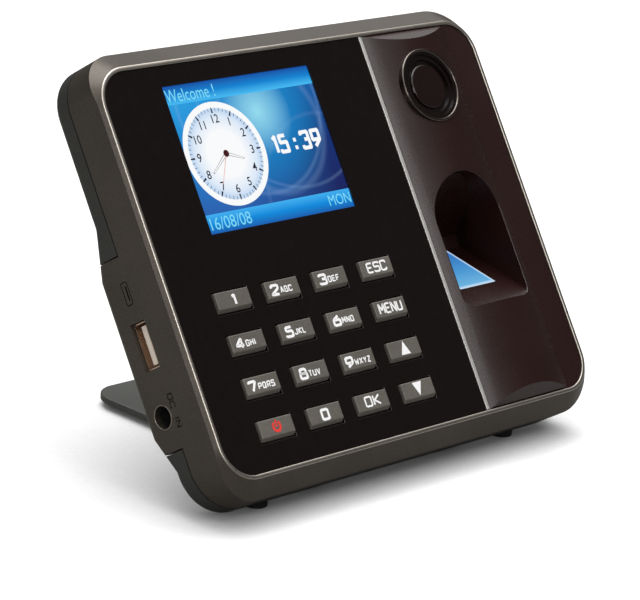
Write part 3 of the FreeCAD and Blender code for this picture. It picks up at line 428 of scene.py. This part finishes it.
def disc(mesh, radius, inner, layer, steps=72):
    """A disc of the dial, or a ring if inner is more than 0."""
    turns = [math.tau * i / steps for i in range(steps)]
    circles = [[mesh.verts.new(screen_point(DIAL_X + r * math.cos(turn), DIAL_Y + r * math.sin(turn),
                                            layer)) for turn in turns]
               for r in (radius, inner) if r]
    if len(circles) == 1:
        mesh.faces.new(circles[0])
        return
    outer, hole = circles
    for i in range(steps):
        j = (i + 1) % steps
        mesh.faces.new((outer[i], outer[j], hole[j], hole[i]))


def hand(mesh, angle, length, wide, layer, back=0.0):
    """A tapered hand or tick from the dial's centre, clockwise from the top."""
    along = Vector((math.sin(angle), math.cos(angle)))
    side = Vector((along.y, -along.x))
    hub = Vector((DIAL_X, DIAL_Y))
    shape = [hub + along * back + side * wide / 2, hub + along * length + side * wide / 4,
             hub + along * length - side * wide / 4, hub + along * back - side * wide / 2]
    mesh.faces.new([mesh.verts.new(screen_point(p.x, p.y, layer)) for p in shape])


def dial_colour(shader):
    """White in the middle, pale blue towards the edge."""
    radius = far_from(shader, *screen_place(shader), DIAL_X, DIAL_Y)
    share = shader.math("DIVIDE", radius, DIAL_FACE)
    return shader.ramp(share, (0.5, srgb(255, 255, 255)), (0.82, srgb(226, 238, 252)),
                       (1.0, srgb(188, 214, 243)))


dial_white = lit("dial_white", srgb(255, 255, 255))
dial_ink = lit("dial_ink", srgb(22, 24, 38))
dial_grey = lit("dial_grey", srgb(138, 138, 136))
dial_red = lit("dial_red", srgb(238, 196, 190))
dial_hub = lit("dial_hub", srgb(64, 12, 22))
ring_mesh = bmesh.new()
disc(ring_mesh, DIAL_OUTER, DIAL_FACE - 0.1, 1)
on_screen("dial_ring", ring_mesh, dial_white)
face_mesh = bmesh.new()
disc(face_mesh, DIAL_FACE, 0, 1)
on_screen("dial_face", face_mesh, lit("dial_face", dial_colour))
tick_mesh = bmesh.new()
for minute in range(60):
    long, wide = (MINUTE_TICK, MINUTE_TICK_WIDE) if minute % 5 else (HOUR_TICK, HOUR_TICK_WIDE)
    hand(tick_mesh, math.tau * minute / 60, DIAL_FACE + 0.1, wide, 2, back=DIAL_FACE - long)
on_screen("dial_ticks", tick_mesh, dial_ink)
for name, shorter, wide, layer, material in (("dial_hands", 0, HAND_WIDE, 3, dial_grey),
                                             ("dial_hand_fills", FILL_SHORTER, FILL_WIDE, 4, dial_white)):
    hands_mesh = bmesh.new()
    hand(hands_mesh, HOUR_ANGLE, HOUR_LONG - shorter, wide, layer)
    hand(hands_mesh, MINUTE_ANGLE, MINUTE_LONG - shorter, wide, layer)
    on_screen(name, hands_mesh, material)
second_mesh = bmesh.new()
hand(second_mesh, SECOND_ANGLE, SECOND_LONG, SECOND_WIDE, 5)
on_screen("dial_second_hand", second_mesh, dial_red)
hub_mesh = bmesh.new()
disc(hub_mesh, HUB_RADIUS, 0, 6, steps=28)
on_screen("dial_hub", hub_mesh, dial_hub)


# ---- Words and figures on the screen -------------------------------------------------------
# The dial's numbers, a greeting in the header, the date and the day in the footer, and the
# time as bold squared figures to the right of the dial.

CAP_HEIGHT = 0.69
NUMERAL_RADIUS, NUMERAL_DROP, NUMERAL_TALL = 10.3, 1.2, 2.45
TIME_LAYER, TIME_Y, TIME_TALL, TIME_WIDE, TIME_STROKE = 3, -23.8, 5.8, 2.75, 1.1
COLON_X, COLON_HALF = 43.1, 0.55
INK = 0.02


def screen_text(name, text, x, y, tall, wide, layer, material, bold=0.0, align="LEFT"):
    """Text on the screen; wide stretches the letters, x and y set the baseline."""
    curve = bpy.data.curves.new(name, "FONT")
    curve.body = text
    curve.align_x = align
    curve.size = 1.0
    curve.offset = bold
    curve.resolution_u = 4
    holder = bpy.data.objects.new(name, curve)
    bpy.context.scene.collection.objects.link(holder)
    bpy.context.view_layer.update()
    data = bpy.data.meshes.new_from_object(holder.evaluated_get(
        bpy.context.evaluated_depsgraph_get()))
    bpy.data.objects.remove(holder)
    size = tall / CAP_HEIGHT
    data.transform(Matrix.Translation(screen_point(x, y, layer))
                   @ Matrix.Diagonal((size * wide, size, 1, 1)))
    data.transform(on_casing)
    data.materials.clear()
    data.materials.append(material)
    made = bpy.data.objects.new(name, data)
    bpy.context.scene.collection.objects.link(made)
    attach(made, "clock")


# squared letters as pen strokes on a grid 4 wide and 6 high; a closed stroke ends in o
LETTERS = {
    "0": "0,0 4,0 4,6 0,6 o", "1": "0.7,5 2.1,6 2.1,0", "2": "0,4.4 0,6 4,6 4,3.7 0,0.5 0,0 4,0",
    "3": "0,4.9 0,6 3.9,6 3.9,3.2 1.5,3.2|3.9,3.2 4,3.2 4,0 0,0 0,1.1", "4": "3,0 3,6 0,2.1 0,1.6 4.2,1.6",
    "5": "3.8,6 0.4,6 0.4,3.5 4,3.5 4,0 0,0 0,1", "6": "3.3,6 0,3.6 0,0 4,0 4,3.5 0.6,3.5",
    "7": "0,4.9 0,6 4,6 1.6,0", "8": "0.3,3.2 3.7,3.2 3.7,6 0.3,6 o|0,0 4,0 4,3.2 0,3.2 o",
    "9": "0.7,0 4,2.4 4,6 0,6 0,2.5 3.4,2.5", "A": "0,0 1.8,6 2.2,6 4,0|0.8,1.9 3.2,1.9",
    "B": "0,0 4,0 4,3.1 0,3.1 o|0,3.1 3.6,3.1 3.6,6 0,6 o", "C": "4,4.5 4,6 0,6 0,0 4,0 4,1.5",
    "D": "0,0 4,0 4,6 0,6 o", "E": "4,6 0,6 0,0 4,0|0,3.1 3.4,3.1", "F": "4,6 0,6 0,0|0,3.1 3.4,3.1",
    "G": "4,4.6 4,6 0,6 0,0 4,0 4,2.9 2.2,2.9", "H": "0,0 0,6|4,0 4,6|0,3 4,3", "I": "0.4,0 0.4,6",
    "J": "3.4,6 3.4,0 0,0 0,1.7", "K": "0,0 0,6|4,6 0.6,3 4,0", "L": "0,6 0,0 3.6,0",
    "M": "0,0 0,6 0.4,6 2.3,2 4.2,6 4.6,6 4.6,0", "N": "0,0 0,6 0.4,6 3.6,0 4,0 4,6",
    "O": "0,0 4,0 4,6 0,6 o", "P": "0,0 0,6 4,6 4,2.8 0.4,2.8", "Q": "0,0 4,0 4,6 0,6 o|2.4,1.8 4.4,-0.8",
    "R": "0,0 0,6 4,6 4,2.8 0.4,2.8|1.8,2.8 4,0", "S": "4,5 4,6 0,6 0,3.2 4,3.2 4,0 0,0 0,1",
    "T": "0,6 4,6|2,6 2,0", "U": "0,6 0,0 4,0 4,6", "V": "0,6 1.9,0 2.1,0 4,6",
    "W": "0,6 1.2,0 2.6,4 4,0 5.2,6", "X": "0,0 4,6|0,6 4,0", "Y": "0,6 2,3 4,6|2,3 2,0",
    "Z": "0,6 4,6 0,0 4,0"}


def softened(points, closed, cut=0.55):
    """Cuts each corner of a stroke short, as a rounded pen would."""
    out, count = [], len(points)
    for i, here in enumerate(points):
        if not closed and i in (0, count - 1):
            out.append(here)
            continue
        for other in (points[i - 1], points[(i + 1) % count]):
            way = other - here
            out.append(here + way * min(cut / way.length, 0.45))
    return out


def pen(mesh, points, closed, width, z):
    """A ribbon of even width along a stroke, as a thin closed layer of ink."""
    count = len(points)
    sides = []
    for i, here in enumerate(points):
        before = points[i - 1] if closed or i else None
        after = points[(i + 1) % count] if closed or i < count - 1 else None
        ways = [(here - before).normalized() if before is not None else None,
                (after - here).normalized() if after is not None else None]
        normals = [Vector((-way.y, way.x)) for way in ways if way is not None]
        normal = sum(normals, Vector((0, 0))).normalized()
        reach = width / 2 / max(normal.dot(normals[0]), 0.35)
        sides.append((here + normal * reach, here - normal * reach))
    made = [[mesh.verts.new((p.x, p.y, level)) for p in pair for level in (z, z - INK)]
            for pair in sides]
    runs = list(zip(made, made[1:] + made[:1]))
    for (a, b, c, d), (e, f, g, h) in runs if closed else runs[:-1]:
        for quad in ((a, e, g, c), (b, d, h, f), (a, b, f, e), (c, g, h, d)):
            mesh.faces.new(quad)
    if not closed:
        for a, b, c, d in (made[0], made[-1]):
            mesh.faces.new((a, c, d, b))


def advance(letter):
    """How far to the right a letter reaches on its grid."""
    pairs = [pair for pair in LETTERS[letter].replace("|", " ").split() if "," in pair]
    return max(float(pair.split(",")[0]) for pair in pairs)


def write(mesh, text, x, y, tall, wide, stroke, z, gap=1.35, centred=False, soft=0.55):
    """Stroke lettering, its lower left or its middle at x, y."""
    scale_y = (tall - stroke) / 6
    scale_x = wide / 4
    length = sum(advance(c) * scale_x for c in text) + gap * scale_x * (len(text) - 1)
    if centred:
        x, y = x - length / 2, y - (tall - stroke) / 2
    for letter in text:
        for line in LETTERS[letter].split("|"):
            closed = line.endswith("o")
            pairs = [pair.split(",") for pair in line.replace("o", "").split()]
            grid = softened([Vector((float(a), float(b))) for a, b in pairs], closed, soft)
            pen(mesh, [Vector((x + p.x * scale_x, y + p.y * scale_y)) for p in grid], closed,
                stroke, z)
        x += (advance(letter) + gap) * scale_x
    return x


caption_cyan = lit("caption_cyan", srgb(128, 222, 250))
for hour in range(1, 13):
    angle = math.tau * hour / 12
    screen_text(f"dial_{hour}", str(hour), DIAL_X + NUMERAL_RADIUS * math.sin(angle),
                DIAL_Y + NUMERAL_RADIUS * math.cos(angle) - NUMERAL_DROP, NUMERAL_TALL, 0.95, 3,
                dial_ink, bold=0.008, align="CENTER")
screen_text("screen_welcome", "Welcome !", 0.4, -4.7, 3.7, 0.78, 3, caption_cyan)
screen_text("screen_date", "16/08/08", 0.2, -42.1, 3.5, 0.93, 3, caption_cyan)
screen_text("screen_day", "MON", 57.4, -41.7, 3.1, 0.88, 3, caption_cyan, align="RIGHT")
time_mesh = bmesh.new()
time_level = layer_level(TIME_LAYER)
for part, x in (("15", 34.1), ("39", 46.0)):
    write(time_mesh, part, SCREEN_LEFT + x, SCREEN_TOP + TIME_Y, TIME_TALL, TIME_WIDE, TIME_STROKE,
          time_level, gap=2.2, soft=0.2)
for y in (-20.9, -23.2):
    middle = Vector((SCREEN_LEFT + COLON_X, SCREEN_TOP + y))
    square = [middle + COLON_HALF * Vector(way) for way in ((-1, -1), (1, -1), (1, 1), (-1, 1))]
    solid_shape(time_mesh, square, time_level, INK)
on_screen("screen_time", time_mesh, dial_white)


# ---- Keys ----------------------------------------------------------------------------------
# Sixteen moulded caps in grey ABS, satin, with legends pad-printed in white and the power
# mark in red. Each one rises through its own hole and sits on a rubber dome.

KEY_X, KEY_Y = -54.1, 54.4
KEY_PITCH_X, KEY_PITCH_Y, KEY_TOP = 19.15, 12.27, 0.8
KEY_ROWS = (
    (("key_1", "1"), ("key_2", "2ABC"), ("key_3", "3DEF"), ("key_esc", "ESC")),
    (("key_4", "4GHI"), ("key_5", "5JKL"), ("key_6", "6MNO"), ("key_menu", "MENU")),
    (("key_7", "7PQRS"), ("key_8", "8TUV"), ("key_9", "9WXYZ"), ("key_up", "up")),
    (("key_power", "power"), ("key_0", "0"), ("key_ok", "OK"), ("key_down", "down")))
DIGIT_TALL, SMALL_TALL, WORD_TALL = 3.4, 1.9, 3.2
DIGIT_WIDE, SMALL_WIDE, WORD_WIDE = 2.5, 1.02, {"ESC": 2.0, "MENU": 1.72, "OK": 2.4}
LONE_TALL, LONE_LEFT, LONE_DOWN = 3.5, 0.2, 0.3
ARROW_HALF, ARROW_FOOT, ARROW_TIP = 1.9, 1.95, 2.05
POWER_RADIUS, POWER_STEM_TOP, POWER_STEM_FOOT = 1.35, 1.75, 0.2
POWER_GAP, POWER_STEPS = 38, 24


def draw_legend(mesh, legend, x, y, top):
    """The print on one key, about its middle at x, y."""
    if legend in ("up", "down"):
        way = 1 if legend == "up" else -1
        solid_shape(mesh, [(x - ARROW_HALF * way, y - ARROW_FOOT * way),
                           (x + ARROW_HALF * way, y - ARROW_FOOT * way),
                           (x, y + ARROW_TIP * way)], top, INK)
    elif legend == "power":
        sweep = 360 - 2 * POWER_GAP
        turns = [math.radians(POWER_GAP + sweep * i / POWER_STEPS) for i in range(POWER_STEPS + 1)]
        arc = [Vector((x + POWER_RADIUS * math.sin(a), y + POWER_RADIUS * math.cos(a))) for a in turns]
        pen(mesh, arc, False, 0.8, top)
        pen(mesh, [Vector((x, y + POWER_STEM_TOP)), Vector((x, y - POWER_STEM_FOOT))], False, 0.7, top)
    elif legend in ("1", "0"):
        write(mesh, legend, x - LONE_LEFT, y - LONE_DOWN, LONE_TALL, DIGIT_WIDE, 0.8, top, centred=True)
    elif legend in WORD_WIDE:
        write(mesh, legend, x, y, WORD_TALL, WORD_WIDE[legend], 0.55, top, gap=1.6, centred=True)
    else:
        start = x - (5.0 if len(legend) > 4 else 4.4)
        start = write(mesh, legend[0], start, y - 1.55, DIGIT_TALL, DIGIT_WIDE, 0.78, top, gap=1.45)
        write(mesh, legend[1:], start, y - 1.3, SMALL_TALL, SMALL_WIDE, 0.38, top, gap=2.3)


key_plastic = moulded("key_plastic", srgb(70, 66, 61), srgb(110, 105, 98), 0.3, 0.4, 0.014)
white_ink = moulded("white_ink", srgb(236, 236, 236), srgb(250, 250, 250), 0.3, 0.45, 0.002)
red_ink = moulded("red_ink", srgb(214, 46, 40), srgb(228, 58, 50), 0.3, 0.45, 0.002)
for row, keys in enumerate(KEY_ROWS):
    for column, (key, legend) in enumerate(keys):
        finish_node(key, key_plastic)
        ink_mesh = bmesh.new()
        draw_legend(ink_mesh, legend, KEY_X + KEY_PITCH_X * column, KEY_Y - KEY_PITCH_Y * row,
                    KEY_TOP + INK)
        new_piece(key + "_legend", ink_mesh, red_ink if legend == "power" else white_ink,
                  body=key + "_cap", smooth=False)

mat_rubber = moulded("mat_rubber", srgb(96, 96, 98), srgb(120, 120, 122), 0.6, 0.7, 0.01)
finish_node("keypad_mat", mat_rubber)


# ---- Trim strip ----------------------------------------------------------------------------
# A thin drawn aluminium bar glued between the face plate and the finger panel, with its
# drawing marks left showing.

finish_node("trim_strip", bright_metal("drawn_aluminium", srgb(214, 212, 208), 0.42, 0.003))


# ---- Finger panel --------------------------------------------------------------------------
# A moulding with a long hump and a deep finger well, lacquered in a very dark brown satin over
# a fine spark-eroded grain.

brown_lacquer = moulded("brown_lacquer", srgb(30, 13, 11), srgb(41, 21, 18), 0.26, 0.27, 0.01)
finish_node("finger_panel", brown_lacquer)


# ---- Ring and status lens ------------------------------------------------------------------
# A plated ring set in the head of the hump, a stepped black dish inside it and a dark lens
# over the status lamp.

finish_node("ring_trim", bright_metal("dark_chrome", srgb(106, 98, 93), 0.05))
dish_black = moulded("dish_black", srgb(14, 8, 8), srgb(22, 13, 12), 0.4, 0.12, 0.003)
lens_smoke = moulded("lens_smoke", srgb(22, 12, 11), srgb(28, 17, 15), 1.2, 0.06, 0.001)
finish_node("lamp_dish", dish_black)
finish_node("lamp_lens", lens_smoke)


# ---- Fingerprint reader --------------------------------------------------------------------
# An optical block: a right-angled glass prism whose long face is the platen, lit blue from
# behind, in a black cradle with a lamp board and a small camera. The blue light in the platen is
# painted on the glass as a glow, with painted highlights along its edges.

PLATEN_MIDDLE, PLATEN_HALF, PLATEN_LOW, PLATEN_HIGH = 47.65, 7.8, 43.2, 57.9


def platen_colour(shader):
    """Painted light: the lamps' blue glow seen through the glass, brighter towards the front, with painted
    highlights as paler bands along its edges.
    """
    across, up = screen_place(shader)
    sideways = shader.math("SUBTRACT", across, PLATEN_MIDDLE - SCREEN_LEFT)
    from_middle = shader.math("ABSOLUTE", sideways)
    from_front = shader.math("SUBTRACT", up, PLATEN_LOW - SCREEN_TOP)
    inward = shader.math("DIVIDE", from_front, PLATEN_HIGH - PLATEN_LOW)
    # painted light: the lamps' glow through the glass, brighter at the platen's front
    glow = shader.ramp(inward, (0.0, srgb(112, 182, 224)), (0.4, srgb(76, 152, 210)),
                       (1.0, srgb(44, 104, 184)))
    # painted highlights: paler bands along the platen's side and front edges
    side_highlight = shader.ramp(shader.math("SUBTRACT", PLATEN_HALF, from_middle), (0.4, 0.8), (1.6, 0.0))
    front_highlight = shader.ramp(from_front, (0.3, 0.85), (1.5, 0.0))
    edge = shader.math("MAXIMUM", side_highlight, front_highlight)
    return shader.blend(edge, glow, srgb(206, 226, 246))


def platen_glow(shader):
    """Full strength to the eye, and next to none to its surroundings."""
    seen = shader.add("ShaderNodeLightPath").outputs["Is Camera Ray"]
    return shader.math("ADD", shader.math("MULTIPLY", seen, 0.95), 0.05)


# the prism's glass shows painted light: a blue glow with painted highlights at its edges
prism_lit = lit("prism_lit", platen_colour, platen_glow, **{
    "Base Color": srgb(8, 16, 28), "Roughness": 0.08, "Specular IOR Level": 0.5})
finish_node("fingerprint_prism", prism_lit)
board_green = moulded("board_green", srgb(18, 74, 40), srgb(34, 104, 58), 0.7, 0.35, 0.004)
chip_black = moulded("chip_black", srgb(22, 22, 23), srgb(38, 38, 39), 0.2, 0.6, 0.006)
lamp_resin = lit("lamp_resin", srgb(150, 190, 255))
finish_node("reader_cradle", frame_black)
finish_node("reader_lamp_board", board_green)
finish_node("reader_camera_board", board_green)
finish_node("reader_lamps", lamp_resin)
finish_node("reader_camera_lens", chip_black)
finish_node("reader_ribbon", ribbon_film)


# ---- Sockets in the left side --------------------------------------------------------------
# A USB port, nickel-plated with a pale tongue, and a power jack with its centre pin. The
# marks beside them are printed in black: a plain port sign and the words DC IN.

SIDE_X, JACK_UP, JACK_BEHIND, JACK_HOLE = -77.5, 29.35, 15.8, 3.2
# the jack rim's cross-section: outwards from the hole's edge, and into the casing
RIM_SECTION = ((0.0, 0.0), (0.28, -0.02), (0.32, 0.05), (0.05, 0.35))
RIM_STEPS, RIM_PROUD = 48, 0.03
JACK_MARK_UP, JACK_MARK_BEHIND, JACK_MARK_TALL, JACK_MARK_WIDE = 34.6, 11.4, 2.1, 1.6
PORT_MARK_UP, PORT_MARK_BEHIND, PORT_MARK_LONG, PORT_MARK_TALL = 67.4, 15.0, 6.4, 2.5
PORT_TONGUE = ((1.2, 1.3), (5.2, 1.3), (5.2, 1.8), (1.2, 1.8))

finish_node("usb_socket_shell", bright_metal("socket_nickel", srgb(222, 200, 182), 0.16, 0.0006))
finish_node("usb_socket_tongue", moulded("tongue_plastic", srgb(240, 222, 204), srgb(250, 238, 224),
                                         0.4, 0.4, 0.002))
finish_node("dc_jack_body", frame_black)
finish_node("dc_jack_pin", bright_metal("jack_pin_nickel", srgb(210, 204, 190), 0.18))
rim_mesh = bmesh.new()
closed_sweep(rim_mesh, [[(SIDE_X - RIM_PROUD + deep, JACK_UP + (JACK_HOLE + out) * math.cos(turn),
                          -JACK_BEHIND + (JACK_HOLE + out) * math.sin(turn))
                         for out, deep in RIM_SECTION]
                        for turn in (math.tau * i / RIM_STEPS for i in range(RIM_STEPS))])
new_piece("jack_rim", rim_mesh, bright_metal("rim_bright", srgb(156, 148, 138), 0.2))

side_ink = moulded("side_ink", srgb(12, 12, 12), srgb(20, 20, 20), 0.3, 0.55, 0.002)


def print_on_side(name, mesh, up, behind):
    """Stands a mark drawn flat against the side wall, so that it reads down the casing."""
    mesh.transform(Matrix(((0, 0, -1, SIDE_X), (-1, 0, 0, up), (0, 1, 0, -behind), (0, 0, 0, 1))))
    new_piece(name, mesh, side_ink, smooth=False)


jack_mark = bmesh.new()
for word, start, gap in (("DC", 0, 1.6), ("IN", 6.7, 2.0)):
    write(jack_mark, word, start, 0, JACK_MARK_TALL, JACK_MARK_WIDE, 0.28, 0, gap=gap)
print_on_side("jack_mark", jack_mark, JACK_MARK_UP, JACK_MARK_BEHIND)
port_mark = bmesh.new()
outline = [Vector(p) for p in round_loop(0, PORT_MARK_LONG, 0, PORT_MARK_TALL, 0.5, steps=4)]
pen(port_mark, outline, True, 0.26, 0)
solid_shape(port_mark, PORT_TONGUE, 0, INK)
print_on_side("port_mark", port_mark, PORT_MARK_UP, PORT_MARK_BEHIND)


# ---- Screws --------------------------------------------------------------------------------
# Cross-head screws with faint turning marks: four blackened ones hold the rear cover, and
# four plated ones the main board.

finish_node("case_screws", bright_metal("blackened_steel", srgb(64, 63, 62), 0.3))
finish_node("board_screws", bright_metal("plated_steel", srgb(168, 166, 160), 0.25))


# ---- Stand and feet ------------------------------------------------------------------------
# A moulded flap turning on a steel pin between two ears of the rear cover, lying flat on the
# desk, with round rubber pads under its far end and under the casing's lower edge.

stand_plastic = moulded("stand_plastic", srgb(60, 62, 58), srgb(80, 82, 77), 0.34, 0.5, 0.012,
                        Metallic=0.2)
pad_rubber = moulded("pad_rubber", srgb(20, 20, 20), srgb(34, 34, 34), 0.5, 0.8, 0.02)
finish_node("stand_plate", stand_plastic)
finish_node("stand_hinge_pin", bright_metal("drawn_steel", srgb(150, 148, 144), 0.25))
finish_node("stand_pads", pad_rubber)
finish_node("body_pads", pad_rubber)


# ---- Main board and its parts --------------------------------------------------------------
# A green circuit board behind the keys with moulded chips, a backup coin cell in its holder,
# and a small speaker behind the slots of the rear cover.

finish_node("main_board", board_green)
finish_node("board_chips", chip_black)
finish_node("coin_cell", bright_metal("cell_steel", srgb(190, 188, 184), 0.22))
finish_node("coin_cell_holder", frame_black)
finish_node("speaker", chip_black)


# ---- Desk, light and camera ----------------------------------------------------------------
# A pale desk under a large overhead light, with a soft fill from the front, a narrow strip at
# the left and a weak light behind on the right. The camera stands to the left of the clock.

DESK_HALF = 6.0
floor_mesh = bmesh.new()
bmesh.ops.create_grid(floor_mesh, x_segments=8, y_segments=8, size=DESK_HALF)
floor_data = bpy.data.meshes.new("desk_top")
floor_mesh.to_mesh(floor_data)
floor_mesh.free()
desk = bpy.data.objects.new("desk_top", floor_data)
bpy.context.scene.collection.objects.link(desk)
# white to the eye, mid grey to the light that bounces off it
desk_white = moulded("desk_white", srgb(240, 240, 240), srgb(246, 246, 246), 1.5, 0.75, 0.002)
desk_surface = desk_white.node_tree.nodes["Principled BSDF"]
desk_surface.inputs["Specular IOR Level"].default_value = 0.1
desk_shader = Shader(desk_white.node_tree)
paper = desk_surface.inputs["Base Color"].links[0].from_socket
seen_by_eye = desk_shader.add("ShaderNodeLightPath").outputs["Is Camera Ray"]
desk_white.node_tree.links.new(desk_shader.blend(seen_by_eye, srgb(140, 139, 137), paper),
                               desk_surface.inputs["Base Color"])
floor_data.materials.append(desk_white)

world = bpy.data.worlds.new("studio")
bpy.context.scene.world = world
world.use_nodes = True
sky = Shader(world.node_tree)
sky_up = sky.add("ShaderNodeSeparateXYZ", {0: sky.add("ShaderNodeTexCoord").outputs["Generated"]})
sky_tone = sky.ramp(sky_up.outputs["Z"], (0.0, 0.04), (0.56, 0.05), (0.82, 1.0))
sky_background = world.node_tree.nodes["Background"]
world.node_tree.links.new(sky_tone, sky_background.inputs["Color"])
sky_background.inputs["Strength"].default_value = 1.5


def soft_light(name, place, aim, width, depth, power):
    """A rectangular white light at a place, facing the point that it aims at."""
    light = bpy.data.lights.new(name, "AREA")
    light.shape = "RECTANGLE"
    light.size, light.size_y = width, depth
    light.energy = power
    made = bpy.data.objects.new(name, light)
    bpy.context.scene.collection.objects.link(made)
    made.location = place
    made.rotation_mode = "QUATERNION"
    made.rotation_quaternion = (Vector(aim) - Vector(place)).to_track_quat("-Z", "Y")


soft_light("overhead", (0.15, 0.25, 1.1), (0.05, 0.1, 0), 1.0, 0.9, 10.0)
soft_light("front_fill", (-0.1, -1.1, 0.9), (0, 0, 0.06), 0.5, 0.5, 3.2)
soft_light("left_strip", (-1.1, -0.45, 0.42), (0, 0, 0.05), 0.12, 0.6, 3.4)
soft_light("top_rim", (0.92, 0.61, 0.68), (0, 0, 0.1), 0.4, 0.4, 0.45)

CAMERA_ON_CASING = Vector((-644.25, -43.0, 617.2))
LOOK_ON_CASING = Vector((0.7062, 0.1041, -0.7003))
RIGHT_ON_CASING = Vector((0.6902, -0.3218, 0.6482))
SENSOR_WIDE, LENS = 36.0, 177.3
view_forward = (casing_turn @ LOOK_ON_CASING).normalized()
view_right = (casing_turn @ RIGHT_ON_CASING).normalized()
view_up = view_right.cross(view_forward).normalized()
camera_data = bpy.data.cameras.new("camera")
camera_data.sensor_width = SENSOR_WIDE
camera_data.lens = LENS
camera_data.clip_start, camera_data.clip_end = 0.05, 50.0
camera = bpy.data.objects.new("camera", camera_data)
bpy.context.scene.collection.objects.link(camera)
turn = Matrix((view_right, view_up, -view_forward)).transposed().to_4x4()
camera.matrix_world = Matrix.Translation(on_casing @ CAMERA_ON_CASING) @ turn
bpy.context.scene.camera = camera
bpy.context.scene.view_settings.view_transform = "Standard"
bpy.context.scene.view_settings.look = "None"
